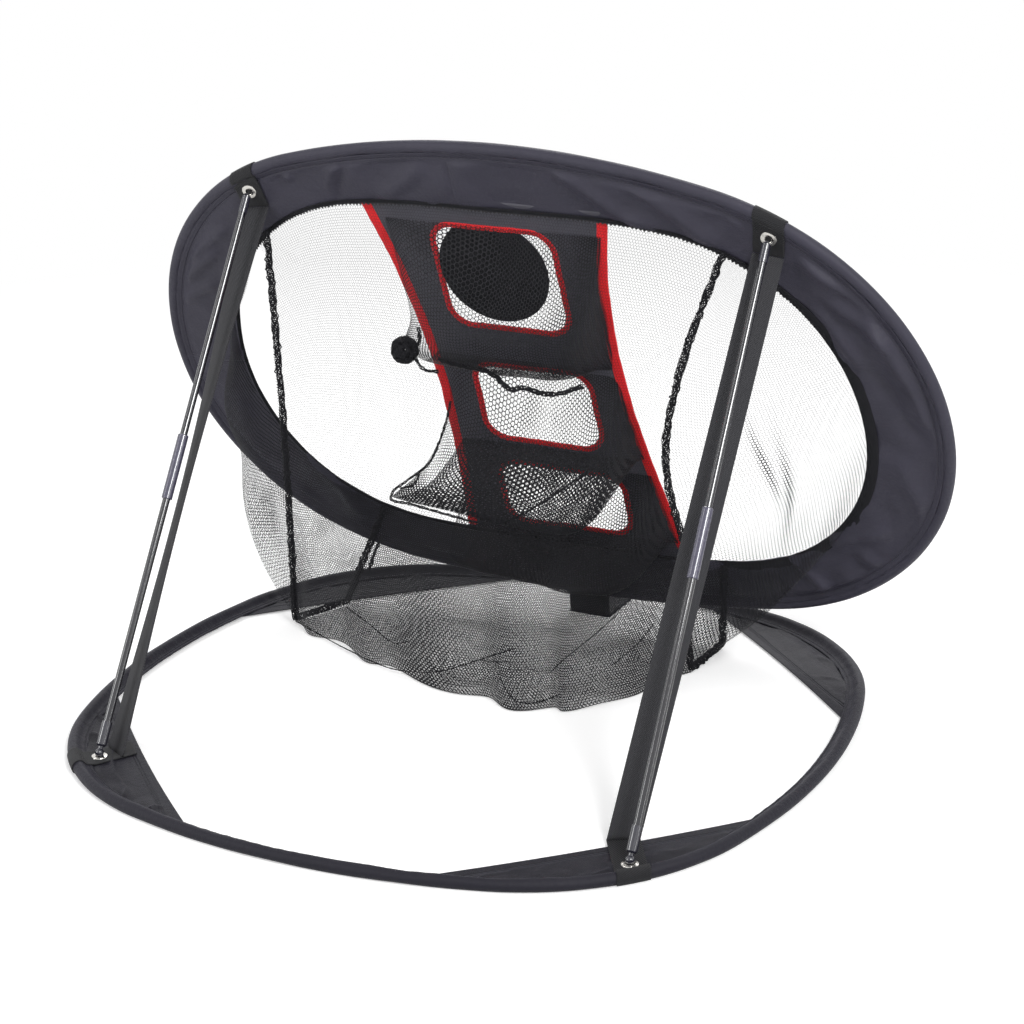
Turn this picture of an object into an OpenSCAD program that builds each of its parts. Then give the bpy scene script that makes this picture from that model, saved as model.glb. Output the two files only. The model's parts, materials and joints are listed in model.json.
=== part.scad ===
// Golf chipping net: a sprung target hoop that stands on a sprung base ring,
// held open by two sectional poles and two webbing straps, with a catch net
// and three pocket nets behind it.
// Millimetres. Origin on the floor at the middle of the base ring, +Z up.
// The golfer stands on the -Y side, and +X is on the golfer's right.

/* [Base ring] */
// Width and depth of the base ring, over its sleeve
base_size = 610; // [590:2:640]
// Radius of the ring's four corners
base_corner_r = 197; // [180:1:215]
// Depth of a corner gusset, from the ring's corner to the middle of its straight edge
gusset_depth = 62; // [54:1:72]
// Width of the folded hem along a gusset's straight edge
gusset_hem_w = 13; // [8:1:18]

/* [Target hoop] */
// Width of the target hoop, over its sleeve
target_w = 708; // [692:2:724]
// Height of the hoop above its widest line, along the hoop
target_up = 252; // [246:1:262]
// Height of the hoop below its widest line, along the hoop
target_down = 226; // [220:1:232]
// Lean of the hoop from the floor, in degrees
target_lean = 66; // [62:0.5:70]
// How far the hoop's hinge line lies in front of the ring's middle
hinge_front = 224; // [216:1:230]
// Height of the hinge line above the floor
hinge_height = 29; // [25:1:36]

/* [Hoop wire and sleeve] */
// Diameter of the spring steel hoop wire
wire_d = 3.2; // [2.8:0.1:3.6]
// Wall of the ferrule that joins the ends of a wire
splice_wall = 0.8; // [0.6:0.1:0.8]
// Length of that ferrule
splice_l = 40; // [24:2:60]
// Outside diameter of the fabric sleeve round a wire
sleeve_d = 10; // [9.6:0.1:10.6]
// Bore of the sleeve
sleeve_bore = 5; // [4.9:0.1:5.4]
// Distance from the sleeve's outer edge to the inner edge of its sewn hem
hem_w = 16; // [14:0.5:18]
// Thickness of the sewn hem
hem_t = 1.6; // [1.2:0.1:2.4]

/* [Border band] */
// Half width of the opening inside the band
opening_half_w = 286; // [265:1:290]
// Height of the opening above the hoop's widest line
opening_up = 193; // [186:1:196]
// Depth of the opening below the hoop's widest line
opening_down = 166; // [162:1:172]
// Radius of the opening's ends above the widest line
opening_up_r = 184; // [150:1:185]
// Radius of the opening's ends below the widest line
opening_down_r = 156; // [136:1:159]

/* [Target panel] */
// Half width of the panel at its waist
panel_waist_half = 88; // [80:1:96]
// Height of the waist, along the hoop
panel_waist_v = 263; // [250:1:276]
// Radius of the panel's edges above the waist
panel_up_r = 560; // [400:10:900]
// Radius of the panel's edges below the waist
panel_down_r = 1150; // [800:10:1600]
// How far the panel's middle drifts to the golfer's right between its bottom and top window
panel_drift = 12; // [0:1:14]
// Width of the folded binding tape
binding_w = 8; // [6:0.5:9]
// Thickness of the binding tape
binding_t = 0.6; // [0.4:0.1:0.8]

/* [Windows and disc] */
// Width of the top window
top_window_w = 104; // [101:1:110]
// Height of the top window
top_window_h = 98; // [96:1:100]
// Height of the top window's middle, along the hoop
top_window_v = 346; // [343:1:349]
// Width of the middle window
middle_window_w = 104; // [80:1:112]
// Height of the middle window
middle_window_h = 78; // [60:1:84]
// Height of the middle window's middle, along the hoop
middle_window_v = 214; // [208:1:220]
// Width of the bottom window
bottom_window_w = 114; // [90:1:120]
// Height of the bottom window
bottom_window_h = 64; // [50:1:68]
// Height of the bottom window's middle, along the hoop
bottom_window_v = 112; // [110:1:118]
// Corner radius of the windows
window_r = 18; // [10:1:24]
// Diameter of the hanging disc
disc_d = 96; // [90:1:98]
// How much of the disc is sewn down above the window
disc_seam = 9; // [6:1:12]
// How far the disc is sewn on beside the middle of its window
disc_shift = 3; // [-3:0.5:3]
// How far the stiff disc stands forward of hanging straight down, in degrees
disc_rest = 20; // [0:1:22]
// Thickness of the disc
disc_t = 1.6; // [1:0.1:2.4]

/* [Poles] */
// How far each pole stands from the middle
pole_x = 226; // [220:1:232]
// Outside diameter of a pole's rods
rod_d = 6; // [5.6:0.1:6.4]
// Bore of the rods
rod_bore = 3; // [2.8:0.1:3.6]
// Outside diameter of the middle ferrule
ferrule_d = 8.6; // [8:0.1:9.4]
// Length of the middle ferrule
ferrule_l = 54; // [40:1:70]
// Outside diameter of the foot tip
foot_tip_d = 8; // [7.6:0.1:8.4]
// Length of the foot tip
foot_tip_l = 20; // [16:1:24]
// Outside diameter of the head tip
head_tip_d = 7.2; // [7:0.1:7.8]
// Length of the head tip
head_tip_l = 17; // [14:1:22]
// How deep a rod seats in a tip
tip_seat = 10; // [6:1:12]
// Diameter of the shock cord inside a pole
cord_d = 2.4; // [1.8:0.1:2.6]

/* [Eyelets] */
// Outside diameter of the eyelets' flanges
eyelet_d = 13; // [12:0.2:13.4]
// Bore of the eyelets
eyelet_bore = 5.2; // [4.6:0.1:5.8]
// Wall of an eyelet's barrel
eyelet_wall = 0.8; // [0.5:0.1:1]
// Thickness of a flange
flange_t = 0.8; // [0.6:0.1:1]
// How far inside the ring's outer edge a foot eyelet sits
foot_inset = 24; // [23:0.5:27]
// How far inside the hoop's outer edge a head eyelet sits
head_inset = 19; // [18.5:0.5:21]
// How far a pole's end stands off its head eyelet
head_gap = 2.2; // [2:0.1:3]

/* [Webbing] */
// Width of the webbing
webbing_w = 25; // [20:1:30]
// Thickness of the webbing
webbing_t = 1.2; // [0.8:0.1:1.4]
// How far past the eyelet the webbing is sewn to the band
head_webbing_run = 15; // [12:1:20]
// Direction of the foot webbing on the floor, from the X axis
foot_webbing_angle = 60; // [50:1:66]
// From the right foot eyelet to the lower end of the right strap
strap_foot_right = 14; // [12:0.5:24]
// Width of the hinge loop
loop_w = 38; // [30:1:50]
// How far the hinge loop is sewn along its web
loop_foot = 24; // [16:1:32]

/* [Fabric and nets] */
// Thickness of the band, gussets, web and panel
fabric_t = 1.2; // [0.8:0.1:1.4]
// Thickness of a net panel
net_t = 1; // [0.8:0.1:1.4]
// Diameter of a rolled net seam
seam_d = 4; // [3:0.5:5]
// How far a net laps onto the band
net_lap = 4; // [2:0.5:6]
// Height of the gussets' underside above the floor
gusset_z = 1; // [0.9:0.1:1.4]

/* [Hidden] */

$fn = 96;
fit = 0.1;        // clearance of pieces that seat in each other on one body
gap = 0.3;        // clearance between pieces on different bodies
big = 2000;       // longer than the whole object

navy = [0.13, 0.14, 0.18];
charcoal = [0.2, 0.2, 0.22];
net_black = [0.06, 0.06, 0.07];
binding_red = [0.75, 0.1, 0.12];
steel = [0.62, 0.64, 0.66];
nickel = [0.82, 0.81, 0.78];
pole_black = [0.05, 0.05, 0.07];
cord_white = [0.85, 0.85, 0.82];

// Levels above the floor at a corner of the base ring
hem_z = gusset_z + fabric_t;              // underside of the sleeve's hem, top of a gusset
webbing_top = hem_z + webbing_t;
flange_top = webbing_top + flange_t;
sleeve_flat = 0.4;                        // how much of the sleeve's round is pressed flat on the floor
sleeve_r = sleeve_d / 2;
sleeve_z = sleeve_r - sleeve_flat;        // height of the base wire

// Layers through the target hoop, measured along its normal; the golfer's side is positive
band_front = -hem_t / 2;
band_rear = band_front - fabric_t;
panel_front = band_front + fabric_t;
rear_webbing = band_rear - webbing_t;
rear_flange = rear_webbing - flange_t;

// The hinge line runs along the middle of the hoop's sleeve, at its lowest point
loop_bore_r = sleeve_r + gap + 0.2;
loop_r = loop_bore_r + webbing_t;
hinge_y = -hinge_front;
hinge_z = hinge_height;
hoop_y = hinge_y - sleeve_r * cos(target_lean);
hoop_z = hinge_z - sleeve_r * sin(target_lean);

// ---- Outlines made of arcs: each arc is [centre, radius, start angle, sweep] ----
// Neighbouring arcs touch where a right triangle of 7:24:25 or 11:60:61 has its longest side,
// so centres and radii stay short decimals and the arcs meet exactly.

function square_arcs(a, corner_r) =
    let (m = (a - corner_r) / 8, c = 7 * m, g = atan2(7, 24))
    [for (i = [0:3])
        each [[-17 * m * [cos(90 * i), sin(90 * i)], a + 17 * m, 90 * i - g, 2 * g],
              [c * [cos(90 * i) - sin(90 * i), sin(90 * i) + cos(90 * i)], corner_r, 90 * i + g, 90 - 2 * g]]];

function bow_radius(a, b, r) = (a * a + b * b - 2 * a * r) / (2 * (b - r));

function oval_arcs(a, up, down, up_r, down_r, mid) =
    let (bu = bow_radius(a, up, up_r), gu = atan2(bu - up, a - up_r),
         bd = bow_radius(a, down, down_r), gd = atan2(bd - down, a - down_r))
    [[[a - up_r, mid], up_r, 0, gu],
     [[0, mid + up - bu], bu, gu, 180 - 2 * gu],
     [[up_r - a, mid], up_r, 180 - gu, gu],
     [[down_r - a, mid], down_r, 180, gd],
     [[0, mid - down + bd], bd, 180 + gd, 180 - 2 * gd],
     [[a - down_r, mid], down_r, 360 - gd, gd]];

// Points along the outline, a distance inside it
function arc_points(arcs, inset, step) =
    [for (arc = arcs) let (n = ceil(arc[3] / step))
        for (i = [0:n - 1]) let (t = arc[2] + arc[3] * i / n)
            arc[0] + (arc[1] - inset) * [cos(t), sin(t)]];

base_arcs = square_arcs(base_size / 2, base_corner_r);
corner_c = base_arcs[1][0][0];
gusset_chord = 2 * corner_c + sqrt(2) * (base_corner_r - gusset_depth); // x + y on that straight edge
target_up_k = (target_w / 2 - target_up) / 6;
target_down_k = (target_w / 2 - target_down) / 10;
target_arcs = oval_arcs(target_w / 2, target_up, target_down,
    target_w / 2 - 7 * target_up_k, target_w / 2 - 11 * target_down_k, target_down);
opening_arcs = oval_arcs(opening_half_w, opening_up, opening_down, opening_up_r, opening_down_r, target_down);

// Upper and lower edge of the band's opening at x
function arc_height(arc, x) = arc[0][1] + sqrt(arc[1] * arc[1] - (x - arc[0][0]) * (x - arc[0][0]));
function opening_top(x) =
    abs(x) < opening_arcs[1][1] * cos(opening_arcs[1][2]) ? arc_height(opening_arcs[1], x)
                                                          : arc_height(opening_arcs[0], abs(x));
function arc_depth(arc, x) = arc[0][1] - sqrt(arc[1] * arc[1] - (x - arc[0][0]) * (x - arc[0][0]));
function opening_bottom(x) =
    abs(x) < opening_arcs[4][1] * abs(cos(opening_arcs[4][2])) ? arc_depth(opening_arcs[4], x)
                                                               : arc_depth(opening_arcs[5], abs(x));

// A point of the hoop's plane, at height v along it and n in front of it, in space
function on_hoop(x, v, n) =
    [x, hoop_y + v * cos(target_lean) - n * sin(target_lean), hoop_z + v * sin(target_lean) + n * cos(target_lean)];

module in_hoop_plane() {
    translate([0, hoop_y, hoop_z]) rotate([target_lean, 0, 0]) children();
}

// Runs a profile, drawn with the outline's outer edge at x = 0, along one arc
module run_along(arc) {
    translate(arc[0]) rotate(arc[2]) rotate_extrude(angle = arc[3]) translate([arc[1], 0]) children();
}

// The line on which arc i meets the arc before it, through both their centres
function joint_line(arcs, i) =
    let (n = len(arcs), p = arcs[(i + n - 1) % n], q = arcs[i % n],
         wide = p[1] > q[1] ? p[0] : q[0], tight = p[1] > q[1] ? q[0] : p[0])
    [tight, abs(tight[1] - wide[1]) < 1e-6 ? [sign(tight[0]) * big, tight[1]] : wide + (tight - wide) * 4];

// Moves a shape in two steps, so that no digit of a long decimal is lost
module place(v) {
    whole = [round(v[0]), round(v[1])];
    translate(whole) translate(v - whole) children();
}

// Runs a profile round a closed outline: each arc's full ring is cut off at the two joint lines
module run_round(arcs) {
    for (i = [0:len(arcs) - 1]) {
        arc = arcs[i];
        middle = arc[2] + arc[3] / 2;
        from = joint_line(arcs, i);
        to = joint_line(arcs, i + 1);
        intersection() {
            place(arc[0]) rotate(round(middle / 90 + 2) * 90) rotate_extrude() place([arc[1], 0]) children();
            translate([0, 0, -50]) linear_extrude(100)
                polygon([from[0], from[1], arc[0] + big * [cos(middle), sin(middle)], to[1], to[0]]);
        }
    }
}

module mirror_left(left) {
    if (left) mirror([1, 0, 0]) children();
    else children();
}

// ---- Where the poles and eyelets stand ----

foot_r = base_corner_r - foot_inset;
foot_y = corner_c + sqrt(foot_r * foot_r - (pole_x - corner_c) * (pole_x - corner_c));
foot_angle = atan2(foot_y - corner_c, pole_x - corner_c);
head_arc = target_arcs[0];
head_r = head_arc[1] - head_inset;
head_v = head_arc[0][1] + sqrt(head_r * head_r - (pole_x - head_arc[0][0]) * (pole_x - head_arc[0][0]));
head_angle = 82;                          // direction of the head webbing in the hoop's plane
ball_r = eyelet_bore / 2 + 0.9;
pivot_z = flange_top + sqrt(ball_r * ball_r - eyelet_bore * eyelet_bore / 4) - 2 * fit;
foot_pivot = [pole_x, foot_y, pivot_z];
head_end = on_hoop(pole_x, head_v, rear_flange - head_gap);
pole_v = head_end - foot_pivot;
pole_l = norm(pole_v);
pole_angle = atan2(pole_v[2], pole_v[1]); // from +Y, towards +Z
echo(foot_pivot = foot_pivot, head_end = head_end, pole_l = pole_l, pole_angle = pole_angle);
echo(hinge = [0, hinge_y, hinge_z], hoop_foot = [0, hoop_y, hoop_z], head_v = head_v, foot_angle = foot_angle);

// Along a pole, from its foot pivot
neck_l = 5;                               // from the ball's middle to the foot tip's shoulder
rod_start = neck_l + foot_tip_l - tip_seat;
rod_end = pole_l - head_tip_l + tip_seat;
rod_mid = pole_l / 2;

// ---- Base ring ----

module sleeve_round(z, flat) {
    difference() {
        translate([-sleeve_r, z]) circle(r = sleeve_r);
        if (flat) translate([-sleeve_d, -sleeve_d]) square([sleeve_d, sleeve_d]);
    }
}

module base_sleeve() {
    color(navy) run_round(base_arcs) difference() {
        union() {
            sleeve_round(sleeve_z, true);
            translate([-hem_w, hem_z]) square([hem_w - sleeve_r, hem_t]);
        }
        translate([-sleeve_r, sleeve_z]) circle(d = sleeve_bore);
    }
}

// The wire's ends meet inside its splice, at the middle of one bow
wire_gap = 2;

module hoop_wire(arcs, bow, level) {
    arc = arcs[bow];
    color(steel) difference() {
        run_round(arcs) translate([-sleeve_r, level]) circle(d = wire_d, $fn = 32);
        translate([-wire_gap / 2, arc[0][1] + arc[1] - 2 * sleeve_d, -sleeve_d]) cube([wire_gap, 3 * sleeve_d, 3 * sleeve_d]);
    }
}

module wire_splice(arcs, bow, level) {
    arc = arcs[bow];
    turn = splice_l / arc[1] * 180 / PI;
    color(nickel) run_along([arc[0], arc[1], 90 - turn / 2, turn])
        translate([-sleeve_r, level]) difference() {
            circle(d = wire_d + 2 * splice_wall, $fn = 32);
            circle(d = wire_d, $fn = 32);
        }
}

module base_hoop_wire() { hoop_wire(base_arcs, 2, sleeve_z); }
module base_wire_splice() { wire_splice(base_arcs, 2, sleeve_z); }

sewn_inset = sleeve_r + sqrt(sleeve_r * sleeve_r - pow(sleeve_z - hem_z, 2)) + 0.5;

module inside_base() {
    polygon(arc_points(base_arcs, sewn_inset, 3));
}

module past_chord(chord) {
    translate([chord / 2, chord / 2]) rotate(45) translate([0, -big / 2]) square([big, big]);
}

module gusset(eyelet) {
    color(navy) translate([0, 0, gusset_z]) difference() {
        union() {
            linear_extrude(fabric_t) intersection() {
                inside_base();
                past_chord(gusset_chord);
            }
            translate([0, 0, fabric_t]) linear_extrude(fabric_t / 2) difference() {
                intersection() {
                    polygon(arc_points(base_arcs, hem_w + fit, 3));
                    past_chord(gusset_chord);
                }
                past_chord(gusset_chord + gusset_hem_w * sqrt(2));
            }
        }
        if (eyelet) {
            translate([pole_x, foot_y, -fit]) cylinder(d = eyelet_bore + 2 * eyelet_wall + 2 * fit, h = 3 * fabric_t);
            foot_strip(webbing_w + 2 * fit, fabric_t, 2 * fabric_t);
        }
    }
}

// A straight strip through the foot eyelet, in the foot webbing's direction
module foot_strip(w, z0, z1) {
    translate([pole_x, foot_y, z0]) rotate(foot_webbing_angle)
        translate([-big / 2, -w / 2, 0]) cube([big, w, z1 - z0]);
}

module back_gusset(left) { mirror_left(left) gusset(true); }
module front_gusset(left) { mirror([0, 1, 0]) mirror_left(left) gusset(false); }

module hinge_web() {
    length = base_size / 2 - hinge_front - loop_bore_r;
    color(navy) translate([0, 0, gusset_z]) linear_extrude(fabric_t) intersection() {
        inside_base();
        translate([-loop_w / 2 - 1, -base_size / 2]) square([loop_w + 2, length]);
    }
}

// Round the hoop's sleeve, down to the web and sewn on it; open where the band passes as the hoop folds
module hinge_loop() {
    color(charcoal) translate([-loop_w / 2, hinge_y, hinge_z]) rotate([90, 0, 90]) linear_extrude(loop_w) {
        difference() {
            circle(r = loop_r);
            circle(r = loop_bore_r);
            polygon([[0, 0], big * [cos(100), sin(100)], [big, big], big * [cos(-20), sin(-20)]]);
        }
        translate([-loop_r, hem_z - hinge_z]) square([webbing_t, hinge_z - hem_z]);
        translate([-loop_r - loop_foot, hem_z - hinge_z]) square([loop_foot + webbing_t, webbing_t]);
    }
}

// Webbing on a corner: flat over the gusset, then up over the sleeve and down its outer side
module foot_webbing(left) {
    over = sleeve_r + 2 * fit;
    step = hem_z + hem_t + 2 * fit;
    mirror_left(left) color(charcoal) difference() {
        intersection() {
            run_along([[corner_c, corner_c], base_corner_r, foot_angle - 14, 24]) difference() {
                union() {
                    translate([-78, hem_z]) square([78 - hem_w - 2 * fit, webbing_t]);
                    translate([-hem_w - 2 * fit - webbing_t, hem_z]) square([webbing_t, step - hem_z + webbing_t]);
                    translate([-hem_w - 2 * fit - webbing_t, step]) square([hem_w - sleeve_r, webbing_t]);
                    difference() {
                        translate([-sleeve_r, sleeve_z]) circle(r = over + webbing_t);
                        translate([-hem_w, -hem_w]) square([2 * hem_w, hem_w + hem_z]);
                        translate([-hem_w, -hem_w]) square([hem_w - sleeve_r, hem_w + step]);
                    }
                }
                translate([-sleeve_r, sleeve_z]) circle(r = over);
            }
            foot_strip(webbing_w, 0, big);
            linear_extrude(big) past_chord(gusset_chord);
        }
        translate([pole_x, foot_y, 0]) cylinder(d = eyelet_bore + 2 * eyelet_wall + 2 * fit, h = 2 * webbing_top);
    }
}

// A brass eyelet: a barrel, a flange on one side and a washer on the other
module eyelet(low, high) {
    barrel_r = eyelet_bore / 2 + eyelet_wall;
    color(nickel) rotate_extrude() polygon([
        [eyelet_bore / 2, low - flange_t + 0.2], [eyelet_bore / 2 + 0.2, low - flange_t],
        [eyelet_d / 2 - 0.3, low - flange_t], [eyelet_d / 2, low],
        [barrel_r, low], [barrel_r, high], [eyelet_d / 2, high], [eyelet_d / 2 - 0.3, high + 0.5 * flange_t],
        [barrel_r + 0.8, high + flange_t], [eyelet_bore / 2 + 0.4, high + 0.9 * flange_t],
        [eyelet_bore / 2, high + 0.5 * flange_t]]);
}

module foot_eyelet(left) {
    mirror_left(left) translate([pole_x, foot_y, 0]) eyelet(gusset_z, webbing_top);
}

// ---- Straps: flat webbing that turns a little on its way from gusset to band ----

function mix(a, b, t) = a + (b - a) * t;
function unit(v) = v / norm(v);

strap_gap = 0.6;                          // between the strap's end and the head webbing
foot_webbing_way = [cos(foot_webbing_angle), sin(foot_webbing_angle)];
// The left strap is sewn on at the end of its foot webbing, the right one further in
strap_foot_out = [strap_foot_right, (pole_x + foot_y - gusset_chord) / (foot_webbing_way[0] + foot_webbing_way[1])];
function strap_foot(left) =
    let (p = [pole_x, foot_y] - strap_foot_out[left ? 1 : 0] * foot_webbing_way) [p[0], p[1], webbing_top + 0.2];
strap_foot_w = [-foot_webbing_way[1], foot_webbing_way[0], 0];
strap_head_v = head_v - (head_webbing_run + strap_gap) * sin(head_angle);
strap_head = on_hoop(pole_x - (head_webbing_run + strap_gap) * cos(head_angle), strap_head_v, rear_webbing + webbing_t / 2 - 1);
strap_head_w = [-sin(head_angle), cos(head_angle) * cos(target_lean), cos(head_angle) * sin(target_lean)];

module ribbon(p0, w0, p1, w1, width, t, steps) {
    rings = [for (i = [0:steps])
        let (s = i / steps, c = mix(p0, p1, s), w = unit(mix(w0, w1, s)), n = unit(cross(w, p1 - p0)))
        [c - w * width / 2 - n * t / 2, c + w * width / 2 - n * t / 2,
         c + w * width / 2 + n * t / 2, c - w * width / 2 + n * t / 2]];
    sweep(rings);
}

// A closed body through rings of points that all have the same count
module sweep(rings) {
    m = len(rings[0]);
    points = [for (r = rings) each r];
    last = (len(rings) - 1) * m;
    ends = [[for (j = [m - 1:-1:0]) j], [for (j = [0:m - 1]) last + j]];
    sides = [for (i = [0:len(rings) - 2]) for (j = [0:m - 1])
        let (a = i * m + j, b = i * m + (j + 1) % m, c = a + m, d = b + m)
        each [[a, b, d], [a, d, c]]];
    polyhedron(points, concat(ends, sides), convexity = 6);
}

module strap(left) {
    mirror_left(left) color(charcoal)
        ribbon(strap_foot(left), strap_foot_w, strap_head, strap_head_w, webbing_w, webbing_t, 14);
}

// ---- Target hoop ----

module target_sleeve() {
    color(navy) in_hoop_plane() difference() {
        run_round(target_arcs) difference() {
            union() {
                translate([-sleeve_r, 0]) circle(r = sleeve_r);
                translate([-hem_w, band_front]) square([hem_w - sleeve_r, hem_t]);
            }
            translate([-sleeve_r, 0]) circle(d = sleeve_bore);
        }
        for (side = [-1, 1]) translate([side * pole_x, head_v, -hem_t]) cylinder(d = eyelet_d + 2 * fit, h = 2 * hem_t);
    }
}
module target_hoop_wire() { in_hoop_plane() hoop_wire(target_arcs, 1, 0); }
module target_wire_splice() { in_hoop_plane() wire_splice(target_arcs, 1, 0); }

// A flat layer in the hoop's plane, between two levels along its normal
module layer(low, high) {
    in_hoop_plane() translate([0, 0, low]) linear_extrude(high - low) children();
}

module eyelet_hole() {
    translate([pole_x, head_v]) circle(d = eyelet_bore + 2 * eyelet_wall + 2 * fit);
}

module border_band() {
    color(navy) layer(band_rear, band_front) difference() {
        polygon(arc_points(target_arcs, sleeve_d + 0.3, 3));
        polygon(arc_points(opening_arcs, 0, 3));
        for (left = [false, true]) mirror_left(left) eyelet_hole();
    }
}

// ---- Target panel, its bindings and the disc ----

function panel_half(v) =
    let (r = v > panel_waist_v ? panel_up_r : panel_down_r, d = v - panel_waist_v)
    panel_waist_half + r - sqrt(r * r - d * d);

panel_lap = 8;                            // how far the panel laps onto the band
panel_steps = 24;

// The panel is sewn in a little askew: its middle at height v
function panel_middle(v) = panel_drift * (v - bottom_window_v) / (top_window_v - bottom_window_v);

function panel_edge(low, high, side, out) =
    [for (i = [0:panel_steps]) let (v = mix(low, high, i / panel_steps))
        [panel_middle(v) + side * (panel_half(v) + out), v]];

module between_edges(a, b) {
    polygon(concat(a, [for (i = [len(b) - 1:-1:0]) b[i]]));
}

module rounded(w, h, r) {
    hull_x = w / 2 - r;
    hull_y = h / 2 - r;
    square([w, 2 * hull_y], center = true);
    square([2 * hull_x, h], center = true);
    for (x = [-hull_x, hull_x]) for (y = [-hull_y, hull_y]) translate([x, y]) circle(r = r, $fn = 48);
}

module window_shape(spec, out) {
    translate([panel_middle(spec[2]), spec[2]]) rounded(spec[0] + 2 * out, spec[1] + 2 * out, window_r + out);
}

windows = [[top_window_w, top_window_h, top_window_v],
           [middle_window_w, middle_window_h, middle_window_v],
           [bottom_window_w, bottom_window_h, bottom_window_v]];

module panel_outline() {
    low = opening_bottom(0) - 40;
    high = opening_top(0) + 40;
    intersection() {
        between_edges(panel_edge(low, high, -1, 0), panel_edge(low, high, 1, 0));
        polygon(arc_points(opening_arcs, -panel_lap, 3));
    }
}

module target_panel() {
    color(navy) layer(band_front, panel_front) difference() {
        panel_outline();
        for (w = windows) window_shape(w, binding_t + fit / 2);
    }
}

// Folded tape: a leg on each face of the cloth, joined round its edge
module tape(rear_clear) {
    layer(band_front - binding_t, band_front) intersection() {
        children(0);
        if (rear_clear) polygon(arc_points(opening_arcs, gap, 3));
        else square(big, center = true);
    }
    layer(panel_front, panel_front + binding_t) children(0);
    layer(band_front, panel_front) children(1);
}

module panel_binding(left) {
    side = left ? -1 : 1;
    low = opening_bottom(0) + 2;
    high = opening_top(0) - 8;
    color(binding_red) tape(true) {
        between_edges(panel_edge(low, high, side, -binding_w), panel_edge(low, high, side, binding_t));
        between_edges(panel_edge(low, high, side, fit / 2), panel_edge(low, high, side, binding_t));
    }
}

module window_binding(spec) {
    color(binding_red) tape(true) {
        difference() {
            window_shape(spec, binding_w);
            window_shape(spec, 0);
        }
        difference() {
            window_shape(spec, binding_t);
            window_shape(spec, 0);
        }
    }
}

// The disc hangs from the top window's upper edge, and its sewn part lies on the panel
disc_hang = disc_d - disc_seam;
disc_top_v = top_window_v + top_window_h / 2;
disc_x = panel_middle(top_window_v) + disc_shift;
disc_pivot = on_hoop(disc_x, disc_top_v, (panel_front + band_front) / 2);
disc_hinge_drop = binding_t + gap;

module disc_cut(low, high) {
    intersection() {
        circle(d = disc_d, $fn = 128);
        translate([-disc_d, low]) square([2 * disc_d, high - low]);
    }
}

module target_disc() {
    color(net_black) translate(disc_pivot) rotate([90 - disc_rest, 0, 0])
        translate([0, disc_seam - disc_d / 2, -disc_t / 2]) linear_extrude(disc_t)
            disc_cut(-disc_d, disc_d / 2 - disc_seam - disc_hinge_drop);
}

module disc_seam_tab() {
    color(net_black) layer(panel_front + binding_t, panel_front + binding_t + disc_t)
        translate([disc_x, disc_top_v + disc_seam - disc_d / 2])
            disc_cut(disc_d / 2 - disc_seam + 0.4, disc_d);
}

// ---- Nets ----

// The sheet's direction across its face at one point of its grid
function grid_normal(grid, i, j) =
    let (rows = len(grid) - 1, cols = len(grid[0]) - 1,
         down = grid[min(i + 1, rows)][j] - grid[max(i - 1, 0)][j],
         along = grid[i][min(j + 1, cols)] - grid[i][max(j - 1, 0)])
    unit(cross(down, along));

// A thin sheet through a grid of points, thickened to both sides
module sheet(grid, t) {
    rows = len(grid);
    cols = len(grid[0]);
    count = rows * cols;
    points = [for (side = [1, -1]) for (i = [0:rows - 1]) for (j = [0:cols - 1])
        grid[i][j] + side * t / 2 * grid_normal(grid, i, j)];
    top = [for (i = [0:rows - 2]) for (j = [0:cols - 2])
        let (a = i * cols + j, b = a + 1, c = a + cols, d = c + 1)
        each [[a, b, d], [a, d, c]]];
    bottom = [for (f = top) [f[2] + count, f[1] + count, f[0] + count]];
    rim = concat([for (j = [0:cols - 1]) j],
                 [for (i = [1:rows - 1]) i * cols + cols - 1],
                 [for (j = [cols - 2:-1:0]) (rows - 1) * cols + j],
                 [for (i = [rows - 2:-1:1]) i * cols]);
    walls = [for (k = [0:len(rim) - 1]) let (a = rim[k], b = rim[(k + 1) % len(rim)])
        each [[b, a, a + count], [b, a + count, b + count]]];
    polyhedron(points, concat(top, bottom, walls), convexity = 8);
}

net_n = band_rear - net_t / 2 - fit;      // a net lies on the band's rear face
floor_z = net_t / 2 + 0.2;
seam_top = [221, -188];                   // x where the right and the left seam start, on the opening's upper edge
seam_low = [185, -140];                   // x where they end, on its lower edge
seam_lift = [[210, -163], [-137, -205]];  // where they leave the floor towards the band
seam_bow = [-10, 34];                     // how far each seam bows along X, halfway down
// Rear edge of the net where it lies on the floor, from its right corner to its left
floor_edge = [[232, -108], [166, -73], [97, -44], [0, -17], [-55, -22], [-95, -55], [-133, -143]];

// The point at share t of a path, each leg of it taking an equal share
function along(path, t) =
    let (k = t * (len(path) - 1), m = min(floor(k), len(path) - 2)) mix(path[m], path[m + 1], k - m);

function top_at(x, n) = on_hoop(x, opening_top(x) + net_lap, n);
function low_at(x, n) = on_hoop(x, opening_bottom(x) - net_lap, n);
function rear_edge(s) = let (p = along(floor_edge, s)) [p[0], p[1], floor_z];

edge_in = 0.012;                          // share of a net's width left free beside each seam

module catch_net_back() {
    cols = 18;
    rows = 6;
    grid = [for (i = [0:rows]) [for (j = [0:cols])
        let (s = mix(edge_in, 1 - edge_in, j / cols),
             a = top_at(mix(seam_top[0], seam_top[1], s), net_n), b = rear_edge(s) + [0, 0, net_t])
        mix(a, b, i / rows) + [mix(seam_bow[0], seam_bow[1], s), 14, 0] * sin(180 * i / rows)]];
    color(net_black) sheet(grid, net_t);
}

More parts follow.
